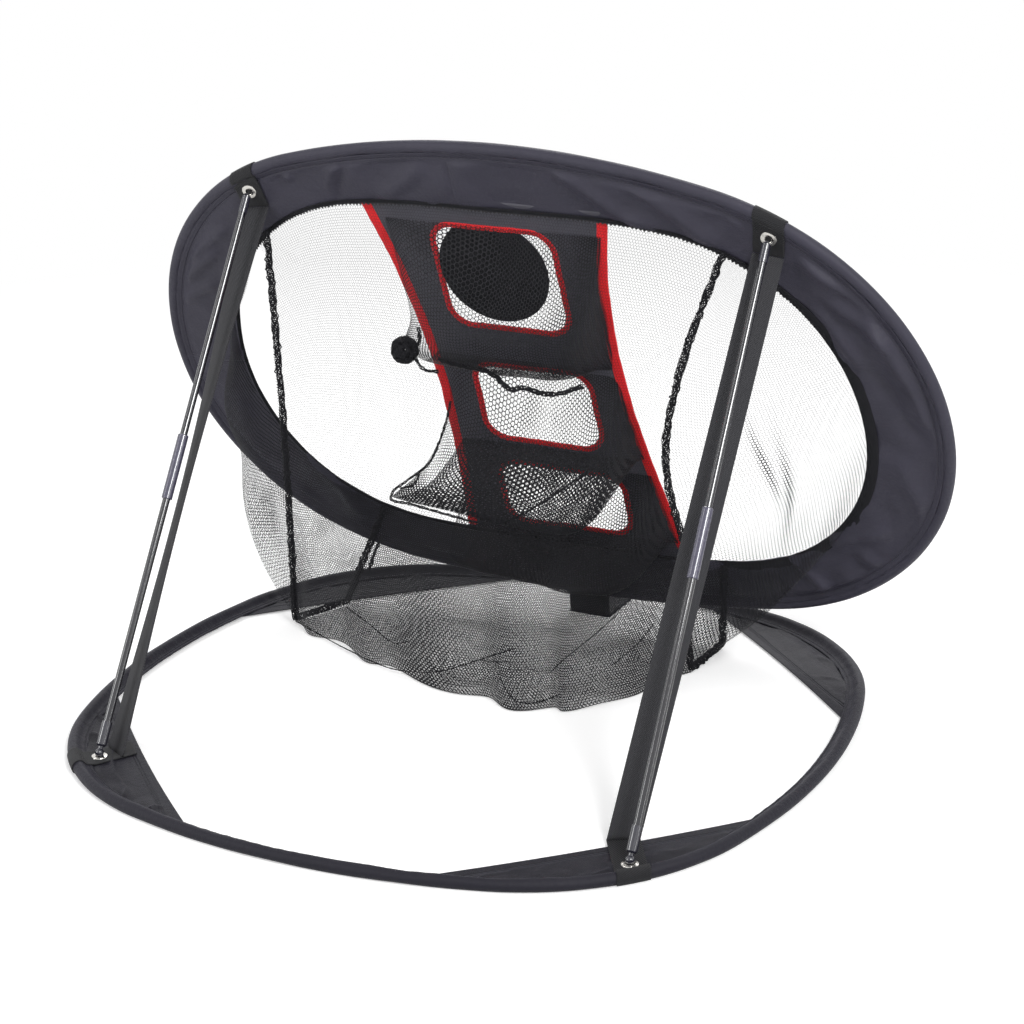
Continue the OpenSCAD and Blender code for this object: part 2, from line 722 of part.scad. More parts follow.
module catch_net_floor() {
    cols = 18;
    grid = [for (t = [0.02, 0.3, 0.65, 1, 1.5, 2]) [for (j = [0:cols])
        let (s = mix(edge_in, 1 - edge_in, j / cols), lift = mix(seam_lift[0], seam_lift[1], s),
             rear = rear_edge(s) - [0, 2, 0], front = [lift[0], lift[1], floor_z],
             top = low_at(mix(seam_low[0], seam_low[1], s), net_n))
        t > 1 ? mix(front, top, t - 1) : mix(rear, front, t)]];
    color(net_black) sheet(grid, net_t);
}

// From the opening's upper edge down to the floor, along the floor, and up to the lower edge
function seam_path(left) =
    let (side = left ? 1 : 0, n = band_rear - seam_d / 2 - fit, level = seam_d / 2 + fit,
         corner = floor_edge[left ? len(floor_edge) - 1 : 0], lift = seam_lift[side],
         a = top_at(seam_top[side], n), b = low_at(seam_low[side], n),
         c = [corner[0], corner[1], level], d = [lift[0], lift[1], level])
    concat([for (i = [0:6]) mix(a, c, i / 6) + [seam_bow[side], 10, 0] * sin(30 * i)],
           [for (i = [1:2]) mix(c, d, i / 2)], [for (i = [1:2]) mix(d, b, i / 2)]);

function ring_round(p, dir, r, sides) =
    let (u = unit(cross(dir, [0.3, 0.2, 1])), w = unit(cross(dir, u)))
    [for (k = [0:sides - 1]) p + r * (u * cos(360 * k / sides) + w * sin(360 * k / sides))];

module net_seam(left) {
    path = seam_path(left);
    n = len(path) - 1;
    color(net_black) sweep([for (i = [0:n])
        ring_round(path[i], path[min(i + 1, n)] - path[max(i - 1, 0)], seam_d / 2, 6)]);
}

gore_bulge = [32, 8];                     // how far the right and the left gore belly out
gore_clear = 1.5;                         // from a gore's edge to the seam's cord
gore_shares = [0.06, 0.1, 0.2, 0.3, 0.4, 0.5, 0.6, 0.7, 0.8, 0.9, 0.93]; // a gore's lines, at the seam's bends

// Side gores run from the opening's edge to the seam
module catch_net_gore(left) {
    s = left ? -1 : 1;
    side = left ? 1 : 0;
    rows = 4;
    start = abs(seam_top[side]);
    stop = abs(seam_low[side]);
    a0 = atan2(opening_top(start) - target_down, start);
    a1 = atan2(opening_bottom(stop) - target_down, stop);
    path = seam_path(left);
    grid = [for (i = [0:rows]) [for (t = gore_shares)
        let (edge = gore_edge(mix(a0, a1, t)),
             p = on_hoop(s * edge[0], edge[1], net_n), q = along(path, t),
             k = 1 - (seam_d / 2 + net_t + gore_clear) / norm(q - p))
        mix(p, q, i / rows * k) + [s * gore_bulge[side] * sin(180 * i / rows) * sin(180 * t), 0, 0]]];
    color(net_black) sheet(grid, net_t);
}

// The opening's edge, widened by the lap, in the direction t from its middle
function gore_edge(t) =
    let (r = [for (p = arc_points(opening_arcs, -net_lap, 2))
        if (abs(angle_between(atan2(p[1] - target_down, p[0]), t)) < 2.6) p])
    r[floor(len(r) / 2)];
function angle_between(a, b) = (a - b + 540) % 360 - 180;

// A pocket: net hung behind a window, open towards it. The path is [back, up] of its folds
// in space, from above the window down to its low hem and up again to below the window.
module pocket(spec, half_w, path) {
    up = pocket_rim(spec, 1);
    low = pocket_rim(spec, -1);
    color(net_black) difference() {
        pocket_body(half_w, concat([up], path, [low]));
        pocket_body(half_w - net_t, inner_path(concat([up], path, [low])));
    }
}

// Where a pocket's net is sewn on, above (side 1) or below (side -1) its window
function pocket_rim(spec, side) =
    let (p = on_hoop(0, spec[2] + side * (spec[1] / 2 + pocket_lap), band_front - binding_t - fit)) [p[1], p[2]];

// The same path one net's thickness further in, reaching through the rim at both ends
function inner_path(path) =
    let (n = len(path) - 1, through = 3 * [-sin(target_lean), cos(target_lean)],
         in = [for (i = [0:n])
             let (d = unit(path[min(i + 1, n)] - path[max(i - 1, 0)])) path[i] + net_t * [d[1], -d[0]]])
    concat([in[0] + through], in, [in[n] + through]);

module pocket_body(half_w, path) {
    translate([-half_w, 0, 0]) rotate([90, 0, 90]) linear_extrude(2 * half_w) polygon(path);
}

pocket_lap = 3;

module pocket_net_top() {
    pocket(windows[0], 80, [[-59, 332], [-54, 288], [-58, 271], [-78, 273]]);
}

module pocket_net_middle() {
    pocket(windows[1], 84, [[-104, 214], [-88, 168], [-86, 140], [-98, 127], [-124, 142]]);
}

module pocket_net_bottom() {
    pocket(windows[2], 84, [[-146, 128], [-128, 92], [-130, 68], [-146, 58], [-172, 70]]);
}

// ---- Head webbing and eyelets ----

module head_strip(w) {
    translate([pole_x, head_v]) rotate(head_angle) translate([-head_webbing_run, -w / 2]) square([big, w]);
}

module head_webbing(left) {
    over_r = sleeve_r + fit + webbing_t;
    turn = 16;
    mid = atan2(head_v - head_arc[0][1], pole_x - head_arc[0][0]);
    mirror_left(left) color(charcoal) in_hoop_plane() difference() {
        intersection() {
            translate(head_arc[0]) rotate(mid - turn / 2) rotate_extrude(angle = turn)
                translate([head_arc[1], 0]) difference() {
                    union() {
                        translate([-60, rear_webbing]) square([60 - sleeve_r, webbing_t]);
                        intersection() {
                            translate([-sleeve_r, 0]) circle(r = over_r);
                            translate([-sleeve_d - 4, -big + 2]) square([big, big]);
                        }
                    }
                    translate([-sleeve_r, 0]) circle(r = sleeve_r + fit);
                    translate([-sleeve_d - 4, band_rear]) square([sleeve_d, big]);
                }
            translate([0, 0, -big / 2]) linear_extrude(big) head_strip(webbing_w);
        }
        translate([0, 0, -big / 2]) linear_extrude(big) eyelet_hole();
    }
}

module head_eyelet(left) {
    mirror_left(left) in_hoop_plane() translate([pole_x, head_v, 0]) mirror([0, 0, 1]) eyelet(-band_front, -rear_webbing);
}

// ---- Poles ----

// Places a pole, drawn upright from its foot pivot
module pole_place(left) {
    mirror_left(left) translate(foot_pivot) rotate([pole_angle - 90, 0, 0]) children();
}

module foot_tip(left) {
    seat = foot_tip_l - tip_seat;
    pole_place(left) color(pole_black) {
        sphere(r = ball_r, $fn = 48);
        cylinder(r = 2, h = neck_l + 1);
        rotate_extrude() polygon([[0, neck_l], [foot_tip_d / 2 - 1, neck_l], [foot_tip_d / 2, neck_l + 1.5],
            [foot_tip_d / 2, neck_l + foot_tip_l], [rod_d / 2 + fit / 2, neck_l + foot_tip_l],
            [rod_d / 2 + fit / 2, neck_l + seat], [0, neck_l + seat]]);
    }
}

module tube(from, to, outer, bore) {
    translate([0, 0, from]) difference() {
        cylinder(d = outer, h = to - from);
        translate([0, 0, -1]) cylinder(d = bore, h = to - from + 2);
    }
}

module lower_rod(left) { pole_place(left) color(pole_black) tube(rod_start, rod_mid - fit, rod_d, rod_bore); }
module upper_rod(left) { pole_place(left) color(pole_black) tube(rod_mid + fit, rod_end, rod_d, rod_bore); }
module ferrule(left) {
    pole_place(left) color(pole_black) difference() {
        rotate_extrude() polygon([[0, rod_mid - ferrule_l / 2], [ferrule_d / 2 - 0.5, rod_mid - ferrule_l / 2],
            [ferrule_d / 2, rod_mid - ferrule_l / 2 + 0.5], [ferrule_d / 2, rod_mid + ferrule_l / 2 - 0.5],
            [ferrule_d / 2 - 0.5, rod_mid + ferrule_l / 2], [0, rod_mid + ferrule_l / 2]]);
        translate([0, 0, rod_mid - ferrule_l]) cylinder(d = rod_d + fit, h = 2 * ferrule_l);
    }
}

module head_tip(left) {
    shoulder = pole_l - head_tip_l;
    pole_place(left) color(pole_black) rotate_extrude() polygon([
        [rod_d / 2 + fit / 2, shoulder], [head_tip_d / 2, shoulder], [head_tip_d / 2, pole_l - 2.5],
        [head_tip_d / 2 - 1.2, pole_l - 0.6], [head_tip_d / 2 - 2.2, pole_l], [0, pole_l],
        [0, rod_end], [rod_d / 2 + fit / 2, rod_end]]);
}

module shock_cord(left) { pole_place(left) color(cord_white) translate([0, 0, rod_start]) cylinder(d = cord_d, h = rod_end - rod_start); }

base_hoop_wire();
base_wire_splice();
base_sleeve();
back_gusset(true);  // back_gusset_left
back_gusset(false);  // back_gusset_right
front_gusset(true);  // front_gusset_left
front_gusset(false);  // front_gusset_right
hinge_web();
hinge_loop();
foot_webbing(true);  // foot_webbing_left
foot_webbing(false);  // foot_webbing_right
foot_eyelet(true);  // foot_eyelet_left
foot_eyelet(false);  // foot_eyelet_right
strap(true);  // strap_left
strap(false);  // strap_right
target_hoop_wire();
target_wire_splice();
target_sleeve();
border_band();
target_panel();
panel_binding(true);  // panel_binding_left
panel_binding(false);  // panel_binding_right
window_binding(windows[0]);  // window_binding_top
window_binding(windows[1]);  // window_binding_middle
window_binding(windows[2]);  // window_binding_bottom
disc_seam_tab();
target_disc();
catch_net_back();
catch_net_floor();
catch_net_gore(true);  // catch_net_gore_left
catch_net_gore(false);  // catch_net_gore_right
net_seam(true);  // net_seam_left
net_seam(false);  // net_seam_right
pocket_net_top();
pocket_net_middle();
pocket_net_bottom();
head_webbing(true);  // head_webbing_left
head_webbing(false);  // head_webbing_right
head_eyelet(true);  // head_eyelet_left
head_eyelet(false);  // head_eyelet_right
foot_tip(true);  // foot_tip_left
lower_rod(true);  // lower_rod_left
ferrule(true);  // ferrule_left
upper_rod(true);  // upper_rod_left
head_tip(true);  // head_tip_left
shock_cord(true);  // shock_cord_left
foot_tip(false);  // foot_tip_right
lower_rod(false);  // lower_rod_right
ferrule(false);  // ferrule_right
upper_rod(false);  // upper_rod_right
head_tip(false);  // head_tip_right
shock_cord(false);  // shock_cord_right
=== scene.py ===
import bisect
import json
from math import atan2, copysign, cos, degrees, exp, hypot, pi, radians, sin, sqrt
import bmesh
import bpy
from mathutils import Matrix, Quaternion, Vector, noise


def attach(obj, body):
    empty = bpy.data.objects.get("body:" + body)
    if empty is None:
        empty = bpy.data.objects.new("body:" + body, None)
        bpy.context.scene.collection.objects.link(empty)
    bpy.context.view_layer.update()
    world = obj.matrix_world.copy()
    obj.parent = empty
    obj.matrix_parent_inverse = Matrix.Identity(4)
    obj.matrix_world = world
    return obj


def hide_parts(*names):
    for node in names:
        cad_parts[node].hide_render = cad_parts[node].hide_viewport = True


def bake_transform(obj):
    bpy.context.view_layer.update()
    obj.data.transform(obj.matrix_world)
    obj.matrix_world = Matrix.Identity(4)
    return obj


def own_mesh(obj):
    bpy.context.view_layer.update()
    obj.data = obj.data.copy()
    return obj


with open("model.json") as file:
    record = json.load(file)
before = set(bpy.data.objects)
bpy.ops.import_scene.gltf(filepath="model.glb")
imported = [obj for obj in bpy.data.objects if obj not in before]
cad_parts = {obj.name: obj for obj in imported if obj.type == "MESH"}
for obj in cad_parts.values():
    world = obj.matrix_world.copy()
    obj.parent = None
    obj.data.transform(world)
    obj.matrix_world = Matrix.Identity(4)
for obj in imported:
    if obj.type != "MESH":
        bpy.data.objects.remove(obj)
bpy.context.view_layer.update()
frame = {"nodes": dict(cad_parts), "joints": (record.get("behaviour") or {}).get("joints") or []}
mm = 0.001

# Seen from behind the net, high up and a little to its left
viewpoint = {"place": (-0.8684, 1.7150, 0.8385), "aim": (-0.0437, 0.0153, 0.1822), "roll": 0.81,
             "lens": 89.92}


def makeCamera():
    data = bpy.data.cameras.new("camera")
    data.lens, data.sensor_width = viewpoint["lens"], 36
    camera = bpy.data.objects.new("camera", data)
    bpy.context.collection.objects.link(camera)
    camera.location = viewpoint["place"]
    facing = (Vector(viewpoint["aim"]) - camera.location).to_track_quat("-Z", "Y")
    camera.rotation_mode = "QUATERNION"
    camera.rotation_quaternion = facing @ Quaternion((0, 0, -1), radians(viewpoint["roll"]))
    bpy.context.scene.camera = camera


makeCamera()
print("camera placed")

# The outlines are made of the same arcs as the solids: (centre, radius, start, sweep) in metres and radians
hoop = {"halfWidth": 354 * mm, "up": 252 * mm, "down": 226 * mm, "lean": radians(66), "sleeve": 5 * mm,
        "hem": 16 * mm}
opening = {"halfWidth": 286 * mm, "up": 193 * mm, "down": 166 * mm, "upRadius": 184 * mm,
           "downRadius": 156 * mm, "fuller": 1 * mm, "shoulder": 4 * mm}
ring = {"half": 305 * mm, "corner": 197 * mm, "wireHeight": 4.6 * mm, "hemHeight": 3 * mm,
        "chord": 380 * mm}
poles = {"x": 226 * mm, "footInset": 24 * mm, "headInset": 19 * mm}


def bowRadius(a, b, r):
    return (a * a + b * b - 2 * a * r) / (2 * (b - r))


def ovalArcs(a, up, down, upRadius, downRadius, middle):
    bowUp, bowDown = bowRadius(a, up, upRadius), bowRadius(a, down, downRadius)
    turnUp = atan2(bowUp - up, a - upRadius)
    turnDown = atan2(bowDown - down, a - downRadius)
    return [((a - upRadius, middle), upRadius, 0, turnUp),
            ((0, middle + up - bowUp), bowUp, turnUp, pi - 2 * turnUp),
            ((upRadius - a, middle), upRadius, pi - turnUp, turnUp),
            ((downRadius - a, middle), downRadius, pi, turnDown),
            ((0, middle - down + bowDown), bowDown, pi + turnDown, pi - 2 * turnDown),
            ((a - downRadius, middle), downRadius, 2 * pi - turnDown, turnDown)]


def squareArcs(a, corner):
    m = (a - corner) / 8
    c, g = 7 * m, atan2(7, 24)
    arcs = []
    for i in range(4):
        t = i * pi / 2
        arcs.append(((-17 * m * cos(t), -17 * m * sin(t)), a + 17 * m, t - g, 2 * g))
        arcs.append(((c * (cos(t) - sin(t)), c * (sin(t) + cos(t))), corner,
                     t + g, pi / 2 - 2 * g))
    return arcs


class Outline:
    def __init__(self, arcs):
        self.arcs = arcs
        self.length = sum(r * sweep for _, r, _, sweep in arcs)

    def at(self, share, inset=0.0):
        left = (share % 1) * self.length
        for centre, r, start, sweep in self.arcs:
            if left <= r * sweep:
                break
            left -= r * sweep
        t = start + min(left / r, sweep)
        return Vector((centre[0] + (r - inset) * cos(t), centre[1] + (r - inset) * sin(t)))


hoopLine = Outline(ovalArcs(hoop["halfWidth"], hoop["up"], hoop["down"],
                            hoop["halfWidth"] - 7 * (hoop["halfWidth"] - hoop["up"]) / 6,
                            hoop["halfWidth"] - 11 * (hoop["halfWidth"] - hoop["down"]) / 10, hoop["down"]))
openingLine = Outline(ovalArcs(opening["halfWidth"], opening["up"], opening["down"],
                               opening["upRadius"], opening["downRadius"], hoop["down"]))
ringLine = Outline(squareArcs(ring["half"], ring["corner"]))

hinge = Vector(next(j for j in frame["joints"] if j["name"] == "target_fold")["pos_m"])
upHoop = Vector((0, cos(hoop["lean"]), sin(hoop["lean"])))
offHoop = Vector((0, -sin(hoop["lean"]), cos(hoop["lean"])))
hoopFoot = hinge - upHoop * hoop["sleeve"]


def onHoop(x, v, n=0.0):
    return hoopFoot + Vector((x, 0, 0)) + upHoop * v + offHoop * n


def mix(a, b, t):
    return a + (b - a) * t


def smooth(t):
    t = min(1.0, max(0.0, t))
    return t * t * (3 - 2 * t)


def hump(t, middle, wide):
    return exp(-((t - middle) / wide) ** 2)


def ripple(x, y, seed=0.0):
    return noise.noise(Vector((x, y, seed)))


def curved(path, t):
    k = t * (len(path) - 1)
    i = min(int(k), len(path) - 2)
    a, b, c, d = [Vector(path[max(0, min(len(path) - 1, j))]) for j in (i - 1, i, i + 1, i + 2)]
    s = k - i
    steep, sharp = 2 * a - 5 * b + 4 * c - d, 3 * b - a - 3 * c + d
    return 0.5 * (2 * b + (c - a) * s + steep * s ** 2 + sharp * s ** 3)


def bearing(spot):
    return atan2(spot[1] - hoop["down"], spot[0])


# The cut edge of the opening, a little fuller at its four shoulders than the arcs
def openingSpot(share, out=0.0):
    spot = openingLine.at(share, -out)
    away = Vector((spot.x, spot.y - hoop["down"]))
    return spot + away.normalized() * (opening["fuller"] - opening["shoulder"] * cos(4 * bearing(spot)))


upperShare = sum(r * sweep for _, r, _, sweep in openingLine.arcs[:3]) / openingLine.length
edgeRows = {True: [openingSpot(mix(upperShare, 0, i / 300)) for i in range(301)],
            False: [openingSpot(mix(upperShare, 0.99999, i / 300)) for i in range(301)]}


def openingV(x, upper):
    row = edgeRows[upper]
    i = max(1, min(300, bisect.bisect_left(row, x, key=lambda spot: spot.x)))
    a, b = row[i - 1], row[i]
    return mix(a.y, b.y, min(1, max(0, (x - a.x) / (b.x - a.x or 1))))


def fillEnds(bm):
    bmesh.ops.holes_fill(bm, edges=[e for e in bm.edges if e.is_boundary])


# A cloth made from a grid: place gives each point, cloth its place on the flat cloth, slack how loose the
# knit is, and cut what is cut out of it; a closed one is joined along its sides, and may have its ends filled
def gridPiece(name, columns, rows, place, flat, closed=False, capped=False, thickness=0.0, slack=None,
              cloth=None, cut=None):
    bm = bmesh.new()
    uv = bm.loops.layers.uv.new("cloth")
    loose = bm.verts.layers.float.new("slack")
    bmesh.ops.create_grid(bm, x_segments=columns, y_segments=rows, size=0.5, calc_uvs=True)
    for face in bm.faces:
        for loop in face.loops:
            u, w = loop.vert.co.x + 0.5, loop.vert.co.y + 0.5
            loop[uv].uv = cloth(u, w) if cloth else (u * flat[0], w * flat[1])
    for vert in bm.verts:
        u, w = vert.co.x + 0.5, vert.co.y + 0.5
        vert[loose] = slack(u, w) if slack else 0.0
        vert.co = place(u, w)
    if cut:
        gone = [face for face in bm.faces
                if cut(*sum((loop[uv].uv for loop in face.loops), Vector((0, 0))) / len(face.loops))]
        bmesh.ops.delete(bm, geom=gone, context="FACES")
    if closed:
        bmesh.ops.remove_doubles(bm, verts=bm.verts, dist=0.02 * mm)
        bmesh.ops.recalc_face_normals(bm, faces=bm.faces)
    if capped:
        fillEnds(bm)
    return finishPiece(name, bm, thickness)


def finishPiece(name, bm, thickness=0.0):
    mesh = bpy.data.meshes.new(name)
    bm.to_mesh(mesh)
    bm.free()
    for face in mesh.polygons:
        face.use_smooth = True
    piece = bpy.data.objects.new(name, mesh)
    bpy.context.collection.objects.link(piece)
    if thickness:
        wall = piece.modifiers.new("wall", "SOLIDIFY")
        wall.thickness, wall.offset, wall.use_even_offset = thickness, 0, False
    return piece


def framesAlong(points):
    last = len(points) - 1
    tangents = [(points[min(i + 1, last)] - points[max(i - 1, 0)]).normalized() for i in range(last + 1)]
    side = tangents[0].orthogonal().normalized()
    frames = []
    for tangent in tangents:
        side = (side - tangent * side.dot(tangent)).normalized()
        frames.append((side.copy(), tangent.cross(side)))
    return frames


# A grid bent round a path into a tube; radius(w, angle) is its radius there
def addTube(bm, points, sides, radius):
    uv = bm.loops.layers.uv.verify()
    steps = len(points) - 1
    frames = framesAlong(points)
    length = sum((points[i + 1] - points[i]).length for i in range(steps))
    girth = 2 * pi * radius(0.5, 0)
    made = bmesh.ops.create_grid(bm, x_segments=sides, y_segments=steps, size=0.5, calc_uvs=False)["verts"]
    for face in {face for vert in made for face in vert.link_faces}:
        for loop in face.loops:
            loop[uv].uv = ((loop.vert.co.x + 0.5) * girth, (loop.vert.co.y + 0.5) * length)
    for vert in made:
        w, a = vert.co.y + 0.5, 2 * pi * (vert.co.x + 0.5)
        i = round(w * steps)
        r = radius(w, a % (2 * pi)) * (0.15 if i in (0, steps) else 1)
        vert.co = points[i] + frames[i][0] * (r * cos(a)) + frames[i][1] * (r * sin(a))
    bmesh.ops.remove_doubles(bm, verts=made, dist=0.02 * mm)


def tubePiece(name, tubes):
    bm = bmesh.new()
    bm.loops.layers.uv.new("cloth")
    for points, sides, radius in tubes:
        addTube(bm, points, sides, radius)
    fillEnds(bm)
    bmesh.ops.recalc_face_normals(bm, faces=bm.faces)
    return finishPiece(name, bm)


def settle(piece, body, material, nodes=()):
    piece.data.materials.clear()
    piece.data.materials.append(material)
    if body:
        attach(piece, body)
    if nodes:
        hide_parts(*nodes)
    return piece


class Value:
    def __init__(self, shade, socket):
        self.shade, self.socket = shade, socket

    def math(self, operation, *others):
        return self.shade.add("ShaderNodeMath", {"operation": operation}, dict(enumerate((self,) + others)))

    def __add__(self, other): return self.math("ADD", other)
    def __sub__(self, other): return self.math("SUBTRACT", other)
    def __rsub__(self, other): return self.shade.number(other).math("SUBTRACT", self)
    def __mul__(self, other): return self.math("MULTIPLY", other)
    def __truediv__(self, other): return self.math("DIVIDE", other)
    def __mod__(self, other): return self.math("FLOORED_MODULO", other)
    def __gt__(self, other): return self.math("GREATER_THAN", other)
    def __lt__(self, other): return self.math("LESS_THAN", other)


class Shade:
    def __init__(self, name):
        self.material = bpy.data.materials.new(name)
        self.material.use_nodes = True
        self.tree = self.material.node_tree
        self.surface = self.tree.nodes["Principled BSDF"]

    def add(self, kind, settings=None, inputs=None, output=0):
        node = self.tree.nodes.new(kind)
        for key, value in (settings or {}).items():
            setattr(node, key, value)
        for key, value in (inputs or {}).items():
            self.join(value, node.inputs[key])
        return Value(self, node.outputs[output])

    def join(self, value, socket):
        if isinstance(value, Value):
            self.tree.links.new(value.socket, socket)
        else:
            socket.default_value = value

    def number(self, value):
        return self.add("ShaderNodeMath", {"operation": "ADD"}, {0: value, 1: 0.0})

    def split(self, vector):
        first = self.add("ShaderNodeSeparateXYZ", None, {0: vector})
        return [Value(self, out) for out in first.socket.node.outputs]

    def blend(self, factor, a, b):
        return self.add("ShaderNodeMix", {"data_type": "RGBA"}, {0: factor, 6: a, 7: b}, 2)

    def put(self, **sockets):
        for name, value in sockets.items():
            self.join(value, self.surface.inputs[name.replace("_", " ")])

    def cloth(self):
        return self.add("ShaderNodeUVMap", {"uv_map": "cloth"})

    def slack(self):
        return self.add("ShaderNodeAttribute", {"attribute_name": "slack"}, None, "Fac")

    def place(self):
        return self.add("ShaderNodeTexCoord", None, None, "Object")

    def noise(self, vector, scale, detail=3.0):
        inputs = {"Vector": vector, "Scale": scale, "Detail": detail}
        return self.add("ShaderNodeTexNoise", None, inputs, "Fac")

    def wave(self, value, pitch):
        return (value * (2 * pi / pitch)).math("SINE")

    def bump(self, height, distance, strength=1.0, under=None):
        inputs = {"Height": height, "Distance": distance, "Strength": strength}
        if under:
            inputs["Normal"] = under
        return self.add("ShaderNodeBump", None, inputs)


def tone(colour, share):
    return tuple(c * share for c in colour[:3]) + (1,)


# Plain-woven polyester: threads, soft crinkles, and rows of stitches at set distances across the cloth, with
# painted shade along each stitch groove
def clothShade(name, colour, stitches=(), shine=0.3):
    s = Shade(name)
    thread, crinkle, stitchLength, stitchGap = 0.5 * mm, 3 * mm, 3.4 * mm, 1.0 * mm
    uv = s.cloth()
    x, y, _ = s.split(uv)
    weave = s.wave(x, thread) * s.wave(y, thread)
    broad, fine = s.noise(uv, 18, 4), s.noise(uv, 260, 3)
    shade = s.blend(broad, tone(colour, 0.8), tone(colour, 1.22))
    shade = s.blend(weave * 0.1 + 0.1, shade, tone(colour, 0.6))
    normal = s.bump(broad * 0.75 + fine * 0.25, crinkle, 0.55)
    for row in stitches:
        off = (x - row).math("ABSOLUTE")
        grooveAndShade = (off / (1.1 * mm)).math("MINIMUM", 1.0)
        sewn = (off < 0.4 * mm) * ((y % stitchLength) > stitchGap)
        # Painted shade: the cloth darkens towards each stitch line, as if shaded in its groove
        shade = s.blend((1 - grooveAndShade) * 0.75, shade, tone(colour, 0.25))
        shade = s.blend(sewn, shade, tone(colour, 1.3))
        normal = s.bump(grooveAndShade, 0.6 * mm, 1.0, normal)
    s.put(Base_Color=shade, Roughness=fine * 0.15 + 0.42, Sheen_Weight=0.06, Sheen_Roughness=0.4,
          Sheen_Tint=(0.72, 0.72, 0.9, 1), Specular_IOR_Level=shine,
          Normal=s.bump(weave, 0.05 * mm, 0.6, normal))
    return s.material


# Webbing: a slanting twill over faint ribs along its length
def webbingShade(name, colour):
    s = Shade(name)
    uv = s.cloth()
    x, y, _ = s.split(uv)
    height = s.wave(x, 2.6 * mm) * 0.15 + s.wave(y + x * 1.3, 2.2 * mm) * 0.85
    worn = s.noise(uv, 60, 4)
    shade = s.blend(height * 0.35 + 0.5, tone(colour, 0.5), tone(colour, 1.5))
    s.put(Base_Color=s.blend(worn * 0.4, shade, tone(colour, 1.2)), Roughness=worn * 0.1 + 0.6,
          Sheen_Weight=0.05, Sheen_Roughness=0.4, Specular_IOR_Level=0.25,
          Normal=s.bump(height, 0.3 * mm, 0.8))
    return s.material


# Folded binding tape: a fine rib across it
def tapeShade(name, colour):
    s = Shade(name)
    uv = s.cloth()
    x, y, _ = s.split(uv)
    rib, worn = s.wave(y, 1.6 * mm), s.noise(uv, 120, 3)
    shade = s.blend(rib * 0.25 + 0.25, colour, tone(colour, 0.6))
    s.put(Base_Color=s.blend(worn, tone(colour, 0.85), shade), Roughness=worn * 0.1 + 0.5, Sheen_Weight=0.08,
          Sheen_Tint=(1, 0.5, 0.5, 1), Specular_IOR_Level=0.3,
          Normal=s.bump(rib * 0.5 + worn, 0.25 * mm, 0.9))
    return s.material


# Knitted mesh with six-sided holes: the looser the knit, the thicker its threads; what isn't thread is clear
def meshShade(name, colour, pitch, thread, loosest, tangle=0.0):
    s = Shade(name)
    uv = s.cloth()
    wander = s.noise(uv, 45, 2) - 0.5
    x, y, _ = s.split(uv)
    x, y = x / pitch + wander * 0.9, y / pitch + wander * 0.6
    tall = sqrt(3)  # height of a row of six-sided cells, for a width of one

    def cell(px, py):
        ax, ay = ((px % 1.0) - 0.5).math("ABSOLUTE"), ((py % tall) - tall / 2).math("ABSOLUTE")
        return (ax * 0.5 + ay * (tall / 2)).math("MAXIMUM", ax)

    reach = cell(x, y).math("MINIMUM", cell(x + 0.5, y + tall / 2))
    half = (s.slack() * loosest + thread) * 0.5
    cover = reach > (0.5 - half)
    if tangle:
        cover = cover.math("MAXIMUM", s.noise(uv, 420, 2) > (1 - tangle))
    shade = s.blend(s.noise(uv, 900, 2), tone(colour, 0.6), tone(colour, 1.9))
    s.put(Base_Color=shade, Roughness=0.6, Alpha=cover, Specular_IOR_Level=0.2,
          Normal=s.bump(reach, 0.3 * mm, 0.7))
    return s.material


# The frayed row of loops along the opening: teeth of thread with gaps between them
def fringeShade(name, colour):
    s = Shade(name)
    uv = s.cloth()
    x, y, _ = s.split(uv)
    tooth = ((y / (3.4 * mm) + s.noise(uv, 90, 2) * 0.8) % 1.0 - 0.5).math("ABSOLUTE") * 2
    height = (tooth * 0.6 + s.noise(uv, 160, 2) * 0.7) * s.slack() * (2.8 * mm) + 0.3 * mm
    s.put(Base_Color=s.blend(s.noise(uv, 900, 2), tone(colour, 0.6), tone(colour, 1.9)), Roughness=0.6,
          Alpha=x < height, Normal=s.bump(tooth, 0.3 * mm, 0.7))
    return s.material


# One colour broken up by a grain: its scale and detail, darkest and lightest share, roughness and depth
def grainShade(name, colour, scale, detail, shares, rough, depth, strength, **sockets):
    s = Shade(name)
    grain = s.noise(s.place(), scale, detail)
    s.put(Base_Color=s.blend(grain, tone(colour, shares[0]), tone(colour, shares[1])),
          Roughness=grain * rough[0] + rough[1], Normal=s.bump(grain, depth, strength), **sockets)
    return s.material


def feltShade(name, colour, scale=900):
    return grainShade(name, colour, scale, 5, (0.55, 1.8), (0.1, 0.82), 0.2 * mm, 0.7, Specular_IOR_Level=0.2)


def lacquerShade(name, colour, rough):
    return grainShade(name, colour, 180, 4, (0.8, 1.3), (0.1, rough), 0.02 * mm, 0.3, Coat_Weight=0.8,
                      Coat_Roughness=0.04, Specular_IOR_Level=0.6)


def metalShade(name, colour, rough):
    return grainShade(name, colour, 500, 4, (0.85, 1.1), (0.15, rough), 0.02 * mm, 0.4, Metallic=1.0)


